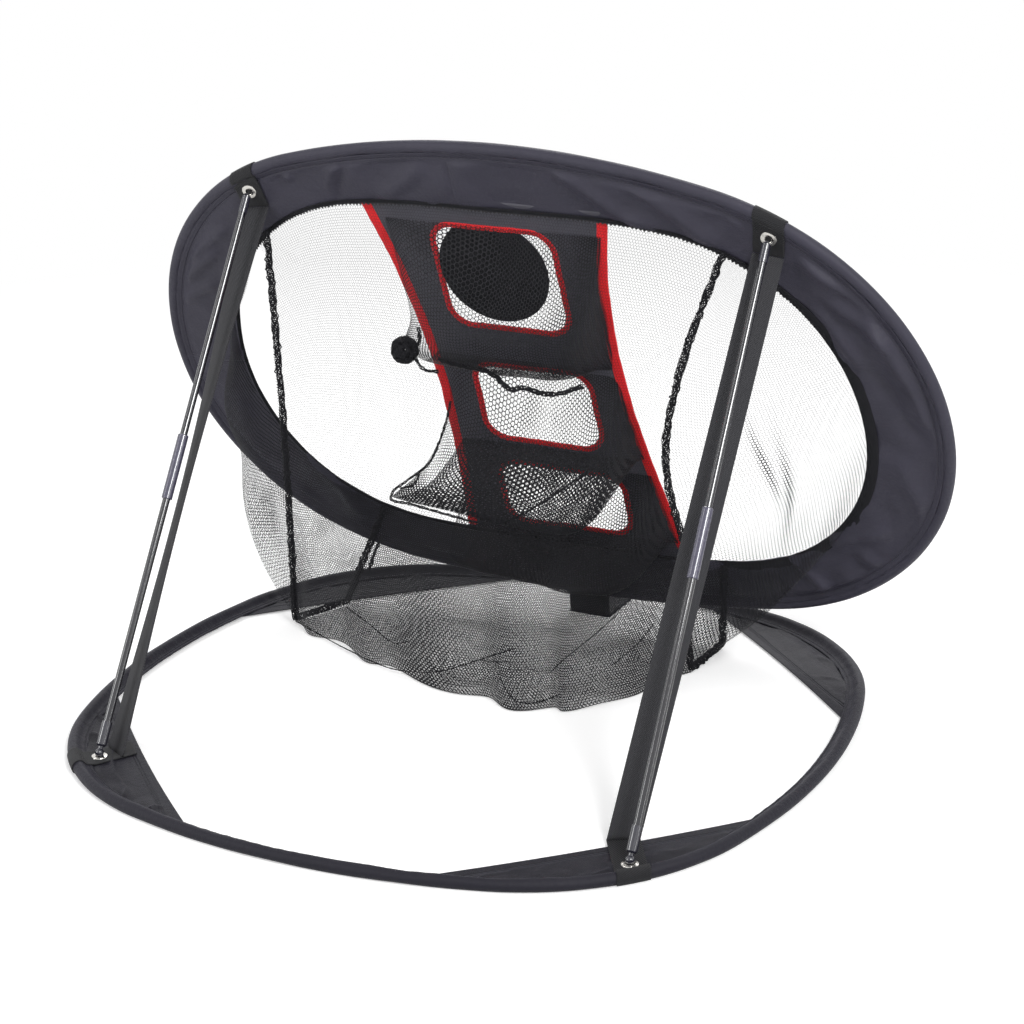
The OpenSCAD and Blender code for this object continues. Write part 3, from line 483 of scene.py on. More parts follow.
navyColour = (0.032, 0.030, 0.046, 1)
knitBlack = (0.008, 0.008, 0.010, 1)
sleeveCloth = clothShade("navySleeve", navyColour, [2.6 * mm, 37.4 * mm])
# The ring's sleeve takes the navy cloth at 0.42 and the gussets and hinge web at 0.3: painted shade, darker
# copies of one cloth for the more brightly lit level base
ringClothShaded = clothShade("navyRingShaded", tone(navyColour, 0.42), [2.6 * mm, 37.4 * mm], 0.2)
bandCloth = clothShade("navyBand", navyColour, [5 * mm])
gussetClothShaded = clothShade("navyGussetShaded", tone(navyColour, 0.3), [11 * mm, 13 * mm], 0.2)
panelCloth = clothShade("darkPanel", (0.066, 0.064, 0.080, 1))
strapWebbing = webbingShade("strapWebbing", (0.034, 0.034, 0.038, 1))
darkWebbing = webbingShade("darkWebbing", (0.012, 0.012, 0.014, 1))
tape = tapeShade("redTape", (0.86, 0.010, 0.016, 1))
netting = meshShade("knittedMesh", knitBlack, 2.5 * mm, 0.07, 0.52)
rolledNetting = meshShade("rolledMesh", knitBlack, 1.7 * mm, 0.36, 0.3, 0.3)
fringe = fringeShade("loopFringe", knitBlack)
knitThread = feltShade("knitThread", knitBlack, 1400)
felt = feltShade("blackFelt", (0.008, 0.008, 0.010, 1))
lacquer = lacquerShade("poleLacquer", (0.006, 0.006, 0.010, 1), 0.06)
ferruleLacquer = lacquerShade("ferruleLacquer", (0.045, 0.042, 0.075, 1), 0.22)
tipPlastic = lacquerShade("tipPlastic", (0.016, 0.016, 0.026, 1), 0.16)
nickel = metalShade("nickelPlate", (0.72, 0.70, 0.66, 1), 0.12)
brass = metalShade("plainBrass", (0.55, 0.42, 0.18, 1), 0.3)
steel = metalShade("springSteel", (0.35, 0.35, 0.37, 1), 0.3)
cordCloth = feltShade("shockCord", (0.6, 0.6, 0.57, 1))
print("materials made")

# The solids that stay get their finish
kept = {"wire": steel, "splice": brass, "eyelet": nickel, "rod": lacquer, "ferrule": ferruleLacquer,
        "tip": tipPlastic, "shock_cord": cordCloth}
for nodeName, node in frame["nodes"].items():
    for word, material in kept.items():
        if word in nodeName:
            node.data.materials.clear()
            node.data.materials.append(material)
            for face in node.data.polygons:
                face.material_index = 0


# The sleeve's section: round the wire at its outer edge, then flat as far as its hem
def sleeveSection(u):
    s, side = abs(1 - 2 * u), 1 if u < 0.5 else -1
    r, turn, thin = hoop["sleeve"], radians(140), 0.8 * mm
    if s < 0.6:
        t = turn * s / 0.6
        return r - r * cos(t), side * r * sin(t)
    k = (s - 0.6) / 0.4
    rise = thin + (r * sin(turn) - thin) * (1 - k) ** 3
    return mix(r - r * cos(turn), hoop["hem"], k), side * rise * (1 if k < 0.99 else 0)


def sleevePiece(name, line, toWorld, stations, sections, pucker):
    def place(u, w):
        inset, rise = sleeveSection(u)
        run = (w % 1) * line.length
        gather = ripple(run / (7 * mm), u * 3) * smooth((inset - 4 * mm) / (8 * mm))
        slack = ripple(run / (42 * mm), u * 2, 3.7)
        rise *= 1 + pucker * (0.35 * gather + 0.3 * slack)
        inset += pucker * mm * (gather + 0.8 * slack) * (1 if inset > hoop["sleeve"] else 0.3)
        spot = line.at(w % 1, inset)
        return toWorld(spot.x, spot.y, rise, inset)

    return gridPiece(name, sections, stations, place, (40 * mm, line.length), closed=True)


def ringPoint(x, y, rise, inset):
    level = mix(ring["wireHeight"], ring["hemHeight"], smooth((inset - hoop["sleeve"]) / (9 * mm)))
    return Vector((x, y, max(0.3 * mm, level + rise)))


baseSleeve = sleevePiece("baseSleeveCloth", ringLine, ringPoint, 700, 36, 0.6)
settle(baseSleeve, "base_frame", ringClothShaded, ["base_sleeve"])

footCentre = Vector(ringLine.arcs[1][0])
footRadius = ring["corner"] - poles["footInset"]
footY = footCentre.y + sqrt(footRadius ** 2 - (poles["x"] - footCentre.x) ** 2)
headCentre, headBow = Vector(hoopLine.arcs[0][0]), hoopLine.arcs[0][1]
headV = headCentre.y + sqrt((headBow - poles["headInset"]) ** 2 - (poles["x"] - headCentre.x) ** 2)

gusset = {"ringInset": 11 * mm, "edgeBow": 3 * mm, "hem": 12 * mm, "folds": 2.4 * mm}


# A corner gusset: cloth between the ring and its own straight hemmed edge
def gussetPiece(name, sideX, sideY, seed, crumple):
    inside = [i / 4000 for i in range(0, 1600)
              if sum(ringLine.at(i / 4000, gusset["ringInset"])) > ring["chord"]]
    first, last = inside[0], inside[-1]

    def spotAt(u, w):
        far = ringLine.at(mix(first, last, u), gusset["ringInset"])
        drop = (far.x + far.y - ring["chord"]) / 2
        near = Vector((far.x - drop, far.y - drop))
        near += Vector((1, 1)) * gusset["edgeBow"] * sin(pi * u)
        return mix(near, far, w)

    def place(u, w):
        spot = spotAt(u, w)
        off = (spot.x + spot.y - ring["chord"]) / sqrt(2)
        hemmed = smooth((gusset["hem"] - off) / (1.5 * mm))
        along = (spot.y - spot.x) / sqrt(2)
        sharp = max(0.0, 1 - 5 * abs(ripple(along / (52 * mm), off / (30 * mm), seed))) ** 2
        soft = abs(ripple(along / (34 * mm), off / (20 * mm), seed + 4))
        free = smooth(off / (8 * mm)) * smooth(w * 1.0) * smooth((1 - w) / 0.2)
        lift = gusset["folds"] * crumple * (0.9 * sharp + 1.6 * soft) * free * (1 - 0.6 * hemmed)
        return Vector((spot.x * sideX, spot.y * sideY, 1.5 * mm + 0.35 * mm * hemmed + lift))

    def cloth(u, w):
        spot = spotAt(u, w)
        return ((spot.x + spot.y - ring["chord"]) / sqrt(2), (spot.y - spot.x) / sqrt(2))

    return gridPiece(name, 120, 46, place, None, thickness=0.7 * mm, cloth=cloth)


for nodeName, sideX, sideY, crumple in (
        ("back_gusset_right", 1, 1, 1.5), ("back_gusset_left", -1, 1, 1.1),
        ("front_gusset_right", 1, -1, 0.8), ("front_gusset_left", -1, -1, 0.8)):
    piece = gussetPiece(nodeName + "_cloth", sideX, sideY, 2.0 + sideX + 3 * sideY, crumple)
    settle(piece, "base_frame", gussetClothShaded, [nodeName])
print("base ring made")

# Pairs are for the right and the left side: how far the strap starts from the eyelet, how far the webbing
# stops short of the gusset's edge, and how far the strap turns about its length
webbing = {"width": 25 * mm, "thick": 1.2 * mm, "footAngle": 60, "headAngle": 82,
           "footOut": (14 * mm, 38.8 * mm), "headOut": 15.6 * mm, "headTail": 15 * mm,
           "short": (9 * mm, -5 * mm), "twist": (-30, -4)}


# Distance from a point to a circle along a direction
def reach(spot, way, radius):
    b = spot.dot(way)
    return sqrt(b * b - spot.dot(spot) + radius * radius) - b


# Webbing that lies flat, then folds round the sleeve; the fold gives (distance inside the edge, height)
def webbingFold(name, origin, way, centre, radius, toWorld, startAt, fold):
    across = Vector((-way.y, way.x))

    def place(u, w):
        s = (u - 0.5) * webbing["width"]
        base = origin + across * s
        edge = reach(base - centre, way, radius)
        flatEnd = edge - fold[0][0]
        if w < 0.35:
            d, high = mix(startAt(base), flatEnd, w / 0.35), fold[0][1]
        else:
            k = curved(fold, (w - 0.35) / 0.65)
            d, high = edge - k.x, k.y
        spot = base + way * d
        return toWorld(spot.x, spot.y, high)

    return gridPiece(name, 14, 72, place, (webbing["width"], 75 * mm), thickness=0.8 * mm)


def roundFold(radius, height, side, angles):
    return [(hoop["sleeve"] + radius * cos(radians(a)),
             height + side * radius * sin(radians(a))) for a in angles]


footFold = [(20 * mm, 2.9 * mm), (17 * mm, 3.6 * mm), (12.5 * mm, 4.9 * mm)] + roundFold(
    5.5 * mm, ring["wireHeight"], 1, (38, 65, 90, 120, 150, 180, 205)) + [(1.0 * mm, 0.8 * mm)]
headFold = [(19 * mm, -2.7 * mm), (16 * mm, -3.0 * mm), (12 * mm, -3.5 * mm)] + roundFold(
    5.5 * mm, 0, -1, (40, 65, 90, 120, 150, 180, 210, 240, 270, 300, 320)) + [
    (12 * mm, 2.2 * mm), (16 * mm, 1.6 * mm)]

for index, (side, word) in enumerate(((1, "right"), (-1, "left"))):
    angle = radians(webbing["footAngle"])
    footWay = Vector((cos(angle), sin(angle)))

    def chordAt(base, way=footWay, short=webbing["short"][index]):
        return (ring["chord"] - base.x - base.y) / (way.x + way.y) + short

    strip = webbingFold("footWebbing_" + word, Vector((poles["x"], footY)), footWay, footCentre,
                        ring["corner"], lambda x, y, z, side=side: Vector((side * x, y, z)), chordAt,
                        footFold)
    settle(strip, "base_frame", darkWebbing, ["foot_webbing_" + word])

    angle = radians(webbing["headAngle"])
    headWay = Vector((cos(angle), sin(angle)))
    strip = webbingFold("headWebbing_" + word, Vector((poles["x"], headV)), headWay, headCentre, headBow,
                        lambda x, v, n, side=side: onHoop(side * x, v, n), lambda base: -webbing["headTail"],
                        headFold)
    settle(strip, "target_frame", darkWebbing, ["head_webbing_" + word])

    out = webbing["footOut"][index]
    foot = Vector((side * (poles["x"] - footWay.x * out), footY - footWay.y * out, 3.6 * mm))
    footAcross = Vector((-side * footWay.y, footWay.x, 0))
    headSpot = Vector((poles["x"], headV)) - headWay * webbing["headOut"]
    head = onHoop(side * headSpot.x, headSpot.y, -3.6 * mm)
    headAcross = Vector((-side * headWay.y, 0, 0)) + upHoop * headWay.x

    def strapPoint(u, w, foot=foot, head=head, footAcross=footAcross, headAcross=headAcross,
                   twist=radians(webbing["twist"][index])):
        centre = mix(foot, head, w)
        centre.z -= 2 * mm * sin(pi * w)
        turn = Quaternion(head - foot, twist * sin(pi * w))
        wide = turn @ mix(footAcross, headAcross, w).normalized()
        curl = 1.0 * mm * cos((u - 0.5) * pi) * sin(pi * w)
        return centre + wide * ((u - 0.5) * webbing["width"]) + Vector((0, curl, 0))

    length = (head - foot).length
    strap = gridPiece("strap_" + word + "_webbing", 14, 120, strapPoint, (webbing["width"], length),
                      thickness=webbing["thick"])
    settle(strap, None, strapWebbing, ["strap_" + word])
    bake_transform(strap)

loopRadius = 6.1 * mm
loopProfile = [(-30 * mm, 2.9 * mm - hinge.z), (-20 * mm, 2.9 * mm - hinge.z), (-10 * mm, 3.2 * mm - hinge.z),
               (-7.2 * mm, 6 * mm - hinge.z), (-6.6 * mm, -12 * mm), (-6.4 * mm, -4 * mm)]
loopProfile += [(-loopRadius * cos(radians(t)), loopRadius * sin(radians(t)))
                for t in (0, 20, 40, 60)]


def loopPoint(u, w):
    k = curved(loopProfile, w)
    return hinge + Vector(((u - 0.5) * 38 * mm, k.x, k.y))


hingeLoop = gridPiece("hingeLoop_webbing", 14, 60, loopPoint, (38 * mm, 66 * mm), thickness=webbing["thick"])
settle(hingeLoop, "base_frame", strapWebbing, ["hinge_loop"])


def webPoint(u, w):
    y = mix(-ring["half"] + 10 * mm, hinge.y - 6 * mm, w)
    fold = 0.8 * mm * abs(ripple(u * 2, w * 4, 5))
    return Vector(((u - 0.5) * 40 * mm, y, 1.5 * mm + fold * sin(pi * w)))


hingeWeb = gridPiece("hingeWeb_cloth", 16, 30, webPoint, (40 * mm, 65 * mm), thickness=0.7 * mm)
settle(hingeWeb, "base_frame", gussetClothShaded, ["hinge_web"])
print("webbing made")

targetSleeve = sleevePiece("targetSleeveCloth", hoopLine, lambda x, v, rise, inset: onHoop(x, v, rise),
                           760, 36, 0.6)
settle(targetSleeve, "target_frame", sleeveCloth, ["target_sleeve"])

# Creases of the band, each from one (x, v) to another in millimetres, with its height and half width;
# every height is multiplied by the crease share
band = {"start": 8.8 * mm, "seam": 8 * mm, "rear": -1.5 * mm, "slack": 3 * mm, "creaseShare": 1.7,
        "creases": [
    ((190, 445), (185, 428), 2.0, 4), ((210, 435), (175, 446), 1.5, 3), ((150, 425), (135, 452), 1.6, 4),
    ((145, 410), (130, 445), -1.4, 4), ((100, 420), (60, 450), 1.8, 7), ((35, 465), (35, 428), -0.9, 2),
    ((320, 315), (280, 345), 2.4, 6), ((305, 340), (265, 370), 2.2, 6), ((330, 290), (292, 310), 1.8, 6),
    ((-60, 460), (-125, 410), 2.4, 7), ((-110, 465), (-175, 410), 2.6, 8),
    ((-180, 437), (-205, 435), 1.8, 4), ((-200, 430), (-212, 405), 1.5, 4),
    ((-255, 350), (-285, 305), 2.0, 6), ((-270, 355), (-320, 320), 2.4, 7),
    ((-300, 340), (-345, 240), 2.6, 7), ((-295, 300), (-325, 230), -2.0, 7),
    ((-250, 395), (-315, 345), 1.6, 6), ((-310, 200), (-330, 130), 2.2, 8),
    ((-265, 95), (-305, 70), 2.8, 7), ((-235, 50), (-200, 85), 2.2, 5), ((-275, 45), (-325, 100), 2.4, 8),
    ((-245, 110), (-290, 125), 1.8, 7), ((255, 145), (215, 65), 2.0, 8), ((305, 190), (310, 95), 2.2, 10),
    ((255, 405), (215, 418), 1.6, 6), ((285, 240), (330, 215), 1.6, 9)]}


def creaseLift(x, v):
    lift = 0.0
    for a, b, high, wide in band["creases"]:
        ax, av = x / mm - a[0], v / mm - a[1]
        bx, bv = b[0] - a[0], b[1] - a[1]
        length = hypot(bx, bv)
        t, off = (ax * bx + av * bv) / length ** 2, (ax * bv - av * bx) / length
        if abs(off) < 2.5 * wide:
            lift += high * mm * exp(-(off / wide) ** 2) * smooth((0.75 - abs(t - 0.5)) / 0.4)
    return lift * band["creaseShare"]


def nearHead(spot):
    return min((spot - Vector((side * poles["x"], headV))).length for side in (1, -1))


def bandSpot(u, w):
    if u < 0.12:
        return hoopLine.at(w, band["start"] + band["seam"] * u / 0.12)
    return mix(hoopLine.at(w, band["start"] + band["seam"]), openingSpot(w), (u - 0.12) / 0.88)


def bandPoint(u, w):
    spot = bandSpot(u, w)
    over = max(0.0, 1 - u / 0.07)
    free = smooth((u - 0.08) / 0.12) * (1 - 0.55 * smooth((u - 0.8) / 0.2))
    free *= smooth((nearHead(spot) - 15 * mm) / (22 * mm))
    lean = 1 + 0.5 * smooth(-spot.x / (300 * mm)) + 0.4 * smooth((150 * mm - spot.y) / (100 * mm))
    across, down = spot.x / (55 * mm), spot.y / (55 * mm)
    soft = ripple(across + down * 0.6, down - across * 0.5, 1.3) + 0.5 * ripple(across * 2.6, down * 2.6, 5.5)
    n = band["slack"] * lean * soft + creaseLift(spot.x, spot.y)
    gather = 0.3 * mm * ripple((w % 1) * 220, u * 4, 2.2) * hump(u, 0.075, 0.08)
    return onHoop(spot.x, spot.y, band["rear"] - 1.9 * mm * over ** 1.5 - n * free - gather)


def bandCut(u, w):
    across = band["seam"] * u / 0.12 if u < 0.12 else band["seam"] + (u - 0.12) / 0.88 * 52 * mm
    return across, w * hoopLine.length


bandPiece = gridPiece("borderBandCloth", 36, 900, bandPoint, None, thickness=0.6 * mm, cloth=bandCut)
settle(bandPiece, "target_frame", bandCloth, ["border_band"])


# Black tape sewn along the opening, behind the band, broadest on the left
def edgeWidth(spot):
    turn = degrees(bearing(spot)) % 360
    return mix(2.6 * mm, 9 * mm, smooth((turn - 140) / 25) * smooth((250 - turn) / 30))


def edgePoint(u, w):
    rim = openingSpot(w)
    spot = openingSpot(w, mix(-0.6 * mm, edgeWidth(rim), u))
    return onHoop(spot.x, spot.y, -2.5 * mm + 0.25 * mm * ripple(w * 260, u * 2))


edging = gridPiece("openingEdgeTape", 5, 700, edgePoint, (6 * mm, openingLine.length), thickness=0.7 * mm)
settle(edging, "target_frame", knitThread)


def loopsPoint(u, w):
    spot = openingSpot(w, mix(0.4 * mm, -4.2 * mm, u))
    return onHoop(spot.x, spot.y, -2.4 * mm - u * 1.2 * mm)


def loopsReach(u, w):
    turn = degrees(bearing(openingSpot(w))) % 360
    return 0.2 + 0.8 * smooth((turn - 15) / 20) * smooth((165 - turn) / 25)


loops = gridPiece("openingEdgeLoops", 3, 500, loopsPoint, (4.6 * mm, openingLine.length), slack=loopsReach)
settle(loops, "target_frame", fringe)
print("hoop made")

panel = {"waistHalf": 88 * mm, "waistV": 263 * mm, "upRadius": 560 * mm, "downRadius": 1150 * mm,
         "drift": 12 * mm, "slack": 1.6 * mm, "corner": 18 * mm, "lap": 7 * mm, "rear": -0.2 * mm}
windows = {"top": (104 * mm, 98 * mm, 346 * mm), "middle": (104 * mm, 78 * mm, 214 * mm),
           "bottom": (114 * mm, 64 * mm, 112 * mm)}
binding = {"panel": (4.6 * mm, 3.8 * mm), "window": (2.7 * mm, 1.9 * mm), "thick": 1.2 * mm}


def panelHalf(v):
    r = panel["upRadius"] if v > panel["waistV"] else panel["downRadius"]
    return panel["waistHalf"] + r - sqrt(r * r - (v - panel["waistV"]) ** 2)


def panelMiddle(v):
    return panel["drift"] * (v - windows["bottom"][2]) / (windows["top"][2] - windows["bottom"][2])


def panelSlack(x, v):
    return panel["slack"] * ripple(x / (60 * mm), v / (50 * mm), 9.0)


def insideWindow(x, v, grow):
    for w, h, level in windows.values():
        dx = abs(x - panelMiddle(level)) - (w / 2 - panel["corner"])
        dv = abs(v - level) - (h / 2 - panel["corner"])
        if hypot(max(dx, 0), max(dv, 0)) < panel["corner"] + grow:
            return True
    return False


def panelSpot(u, w):
    v = mix(openingV(0, False) - panel["lap"], openingV(0, True) + panel["lap"], w)
    return panelMiddle(v) + (2 * u - 1) * panelHalf(v), v


def panelPoint(u, w):
    x, v = panelSpot(u, w)
    return onHoop(x, v, panel["rear"] + panelSlack(x, v))


panelPart = gridPiece("targetPanelCloth", 96, 184, panelPoint, None, thickness=0.8 * mm, cloth=panelSpot,
                      cut=lambda x, v: insideWindow(x, v, 1.2 * mm))
settle(panelPart, "target_frame", panelCloth, ["target_panel"])


# Tape folded over an edge: edge(w) gives the edge's place and the direction towards the cloth
def tapePiece(name, edge, steps, length, closed, nodes):
    wide, inset = binding["window" if closed else "panel"]

    def place(u, w):
        spot, inward = edge(w)
        a = 2 * pi * u
        c, s = cos(a), sin(a)
        across = copysign(abs(c) ** 0.7, c) * wide + inset
        across += 0.4 * mm * ripple(w * length / (15 * mm), 8.8)
        puff = 1 + 0.3 * ripple(w * length / (12 * mm), 2.0)
        n = panelSlack(*spot) + panel["rear"] + copysign(abs(s) ** 0.8, s) * binding["thick"] * puff
        spot = spot + inward * across
        return onHoop(spot.x, spot.y, n + 0.25 * mm * ripple(w * length / (7 * mm), a))

    piece = gridPiece(name, 20, steps, place, (20 * mm, length), closed=True, capped=not closed)
    return settle(piece, "target_frame", tape, nodes)


def panelEdge(side):
    low, high = openingV(0, False) + 2 * mm, openingV(0, True) - 4 * mm

    def edge(w):
        v = mix(low, high, w)
        here = Vector((panelMiddle(v) + side * panelHalf(v), v))
        v += 1 * mm
        ahead = Vector((panelMiddle(v) + side * panelHalf(v), v)) - here
        return here, Vector((-ahead.y, ahead.x)).normalized() * side

    return edge


def windowEdge(w, h, level):
    line = Outline([((sx * (w / 2 - panel["corner"]), sy * (h / 2 - panel["corner"])), panel["corner"],
                     turn * pi / 2, pi / 2) for turn, (sx, sy) in
                    enumerate(((1, 1), (-1, 1), (-1, -1), (1, -1)))])
    runs = [w - 2 * panel["corner"], h - 2 * panel["corner"]] * 2
    quarter = panel["corner"] * pi / 2
    length = 4 * quarter + sum(runs)
    middle = Vector((panelMiddle(level), level))

    def edge(share):
        left = (share % 1) * length
        for i, run in enumerate(runs):
            arc = min(left, quarter)
            straight = left - arc
            t = i * pi / 2 + arc / panel["corner"]
            spot = middle + line.at((i + arc / quarter) / 4 * 0.99999)
            if straight <= run or i == 3:
                return spot + Vector((-sin(t), cos(t))) * straight, Vector((cos(t), sin(t)))
            left -= quarter + run

    return edge, length


for side, word in ((1, "right"), (-1, "left")):
    tapePiece("panelTape_" + word, panelEdge(side), 150, 352 * mm, False, ["panel_binding_" + word])
for word, sizes in windows.items():
    windowLine, runLength = windowEdge(*sizes)
    tapePiece("windowTape_" + word, windowLine, 170, runLength, True, ["window_binding_" + word])

disc = {"radius": 48 * mm, "seam": 9 * mm, "thick": 1.6 * mm, "shift": 3 * mm, "rest": radians(20),
        "drop": 0.9 * mm, "tabTurn": 0.61}
discTop = windows["top"][2] + windows["top"][1] / 2
discX = panelMiddle(windows["top"][2]) + disc["shift"]
discUp = Vector((0, sin(disc["rest"]), cos(disc["rest"])))
discPivot = onHoop(discX, discTop, panel["rear"])


def discPoint(u, w):
    a, r = 2 * pi * w, disc["radius"] * u
    high = min(disc["seam"] - disc["radius"] + r * cos(a), -disc["drop"])
    x = r * sin(a)
    bow = 0.8 * mm * ripple(x / (30 * mm), high / (30 * mm), 6.0) * smooth(-high / (12 * mm))
    return discPivot + Vector((x, bow, 0)) + discUp * high


discPart = gridPiece("targetDiscFelt", 18, 96, discPoint, (48 * mm, 300 * mm), closed=True,
                     thickness=disc["thick"])
settle(discPart, "disc", felt, ["target_disc"])


def discTabPoint(u, w):
    a = mix(-disc["tabTurn"], disc["tabTurn"], w)
    top = discTop + disc["seam"] - disc["radius"] + disc["radius"] * cos(a)
    v = max(mix(discTop + 0.5 * mm, top, u), discTop + 0.5 * mm)
    return onHoop(discX + disc["radius"] * sin(a), v, 1.9 * mm)


discTab = gridPiece("discTabFelt", 6, 40, discTabPoint, (9 * mm, 56 * mm), thickness=disc["thick"])
settle(discTab, "target_frame", felt, ["disc_seam_tab"])
print("panel made")

net = {"seamTop": (221 * mm, -188 * mm), "seamLow": (185 * mm, -140 * mm), "seamBow": (-10 * mm, 34 * mm),
       "seamLift": ((210 * mm, -163 * mm), (-137 * mm, -205 * mm)), "lap": 4 * mm, "behind": -2.9 * mm,
       "heave": 14 * mm, "pleat": 6 * mm, "level": 0.8 * mm, "seamLevel": 5 * mm}
floorEdge = [(232, -108), (166, -73), (97, -44), (0, -17), (-55, -22), (-95, -55), (-133, -143)]
floorEdge = [(x * mm, y * mm, 0) for x, y in floorEdge]


def floorRim(s):
    return curved(floorEdge, s)


def topEdge(x):
    return onHoop(x, openingV(x, True) + net["lap"], net["behind"])


def lowEdge(x):
    return onHoop(x, openingV(x, False) - net["lap"], net["behind"])


def liftLine(u):
    return mix(Vector((*net["seamLift"][0], 0)), Vector((*net["seamLift"][1], 0)), u)


def pleats(u, t):
    wave = sin(u * 37 + 1.2 * sin(5 * t)) + 1.2 * ripple(u * 9, t * 2, 3)
    return Vector((0.7 * cos(u * 31 + 2 * t), wave, 0)) * net["pleat"]


# How the two seams bow as they come down, the left one first to the right and then back
def seamBend(u, t):
    back = -28 * mm * u * hump(t, 0.78, 0.2)
    return Vector((mix(*net["seamBow"], u) + back, 12 * mm, 0)) * sin(pi * t)


fallShare, floorShare = 0.56, 0.84


# The large net: down from the opening, over the floor, forward, and up to the band again
def catchNetPoint(u, w):
    tied = smooth(u / 0.06) * smooth((1 - u) / 0.06)
    if w < fallShare:
        t = w / fallShare
        spot = mix(topEdge(mix(*net["seamTop"], u)), floorRim(u), t)
        spot += seamBend(u, t)
        spot += pleats(u, t) * (tied * t ** 2)
    elif w < floorShare:
        t = (w - fallShare) / (floorShare - fallShare)
        spot = mix(floorRim(u), liftLine(u), t) + pleats(u, 1) * (tied * (1 - t) ** 2)
        heave = max(0.0, ripple(spot.x / (45 * mm), spot.y / (32 * mm), 11)) * net["heave"]
        spot.z = net["level"] + heave * tied * sin(pi * t) ** 0.7
    else:
        t = (w - floorShare) / (1 - floorShare)
        spot = mix(liftLine(u), lowEdge(mix(*net["seamLow"], u)), t)
        spot.y += tied * 6 * mm * sin(pi * t) * (0.6 + ripple(u * 7, t, 8))
    spot.z = max(spot.z, net["level"])
    return spot


def catchNetSlack(u, w):
    side = max(hump(u, 0, 0.05), hump(u, 1, 0.07))
    if w < fallShare:
        t = w / fallShare
        low = smooth((t - 0.55) / 0.45)
        return min(1.0, 0.02 + 0.6 * low * (0.7 + 0.3 * sin(u * 37)) + side * low * 0.3)
    if w < floorShare:
        return 0.5 + 0.2 * ripple(u * 6, w * 20, 4)
    return 0.42


catchNet = gridPiece("catchNetMiddle", 150, 260, catchNetPoint, (430 * mm, 690 * mm), slack=catchNetSlack)
settle(catchNet, "target_frame", netting, ["catch_net_back", "catch_net_floor"])


def seamPoint(left, t):
    side = 1 if left else 0
    corner, lift = floorRim(float(side)), liftLine(float(side))
    corner.z = lift.z = net["seamLevel"]
    a, b = topEdge(net["seamTop"][side]), lowEdge(net["seamLow"][side])
    if t < 0.6:
        k = t / 0.6
        return mix(a, corner, k) + seamBend(side, k)
    if t < 0.8:
        return mix(corner, lift, (t - 0.6) / 0.2)
    return mix(lift, b, (t - 0.8) / 0.2)


# A loose rope of gathered knit: an open tube with a few strands wandering round it
def knitRope(name, path, steps, radius, seed, strands=5, thick=0.6 * mm):
    points = [path(i / steps) for i in range(steps + 1)]
    frames = framesAlong(points)
    length = sum((points[i + 1] - points[i]).length for i in range(steps))

    def girth(w, a):
        return radius * (0.85 + 0.5 * ripple(w * length / (11 * mm), cos(a), seed + sin(a)))

    tubes = []
    for k in range(strands):
        row = []
        for i, point in enumerate(points):
            run = i / steps * length
            a = 2 * pi * (k / strands + run / (19 * mm) + 0.5 * ripple(run / (9 * mm), k, seed))
            r = radius * (0.75 + 0.7 * ripple(run / (6 * mm), k + 5, seed))
            row.append(point + frames[i][0] * (r * cos(a)) + frames[i][1] * (r * sin(a)))
        tubes.append((row, 6, lambda w, a, k=k:
                      thick * (0.9 + 0.6 * ripple(w * length / (5 * mm), k, seed + 9))))
    core = tubePiece(name + "_core", [(points, 12, girth)])
    settle(core, "target_frame", rolledNetting)
    wound = tubePiece(name + "_strands", tubes)
    settle(wound, "target_frame", knitThread)
    return core, wound


ropes = []
for left, word in ((False, "right"), (True, "left")):
    core, wound = knitRope("netSeam_" + word, lambda t, left=left: seamPoint(left, t), 420, 3.3 * mm,
                           5.0 if left else 1.0)
    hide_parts("net_seam_" + word)
    ropes += [core, wound]

gore = {"belly": (32 * mm, 8 * mm), "fold": (6 * mm, 3 * mm), "flat": (560 * mm, 170 * mm)}


def openingShare(x, upper):
    end = Vector((x, openingV(x, upper)))
    return min(range(1000), key=lambda i: (openingSpot(i / 1000) - end).length) / 1000


# How loose the knit of each gore is; below none, it is so fine that it hardly shows
def goreSlackRight(u, w):
    bare = smooth((u - 0.02) / 0.03) * smooth((0.4 - u) / 0.12)
    bare *= smooth((w - 0.4) / 0.08) * smooth((0.97 - w) / 0.04)
    dense = 0.55 * smooth((u - 0.06) / 0.1) * (1 - w) * (1 - 0.6 * smooth((u - 0.4) / 0.2)) + 0.1
    folds = 0.35 * max(0.0, ripple(u * 16, w * 5, 14)) * smooth((u - 0.1) / 0.2)
    return mix(dense + folds, -0.28, bare)


def goreSlackLeft(u, w):
    low = smooth((u - 0.4) / 0.2)
    folds = hump(w, 0.35 + u * 0.3, 0.025) * hump(u, 0.42, 0.07)
    folds += hump(w, 0.62 - u * 0.2, 0.02) * hump(u, 0.36, 0.06)
    return 0.02 + low * (0.3 + 0.3 * ripple(u * 12, w * 5, 15)) + 0.5 * folds


def gorePiece(word, side, sign, slack):
    left = side == 1
    start = openingShare(net["seamTop"][side], True)
    stop = openingShare(net["seamLow"][side], False) - (0 if left else 1)

    def place(u, w):
        edge = openingSpot(mix(start, stop, u) % 1, net["lap"])
        low = seamPoint(left, u)
        spot = mix(onHoop(edge.x, edge.y, net["behind"]), low, w)
        out = sin(pi * w) * sin(pi * u)
        folds = gore["fold"][side] * (sin(u * 34 + 1.5 * w) * w + 1.2 * ripple(u * 7, w * 2, 4 + sign))
        spot.x += sign * (gore["belly"][side] + folds) * out
        spot.y += folds * 0.6 * out
        spot.z = max(spot.z - 5 * mm * out, net["level"] + 0.1 * mm)
        return spot

    def cloth(u, w):
        return w * 115 * mm + u * 330 * mm, u * 450 * mm - w * 70 * mm

    piece = gridPiece("catchNetGore_" + word, 150, 80, place, None, slack=slack, cloth=cloth)
    settle(piece, "target_frame", netting, ["catch_net_gore_" + word])
    return piece


goreRight = gorePiece("right", 0, 1, goreSlackRight)
goreLeft = gorePiece("left", 1, -1, goreSlackLeft)
print("catch net made")

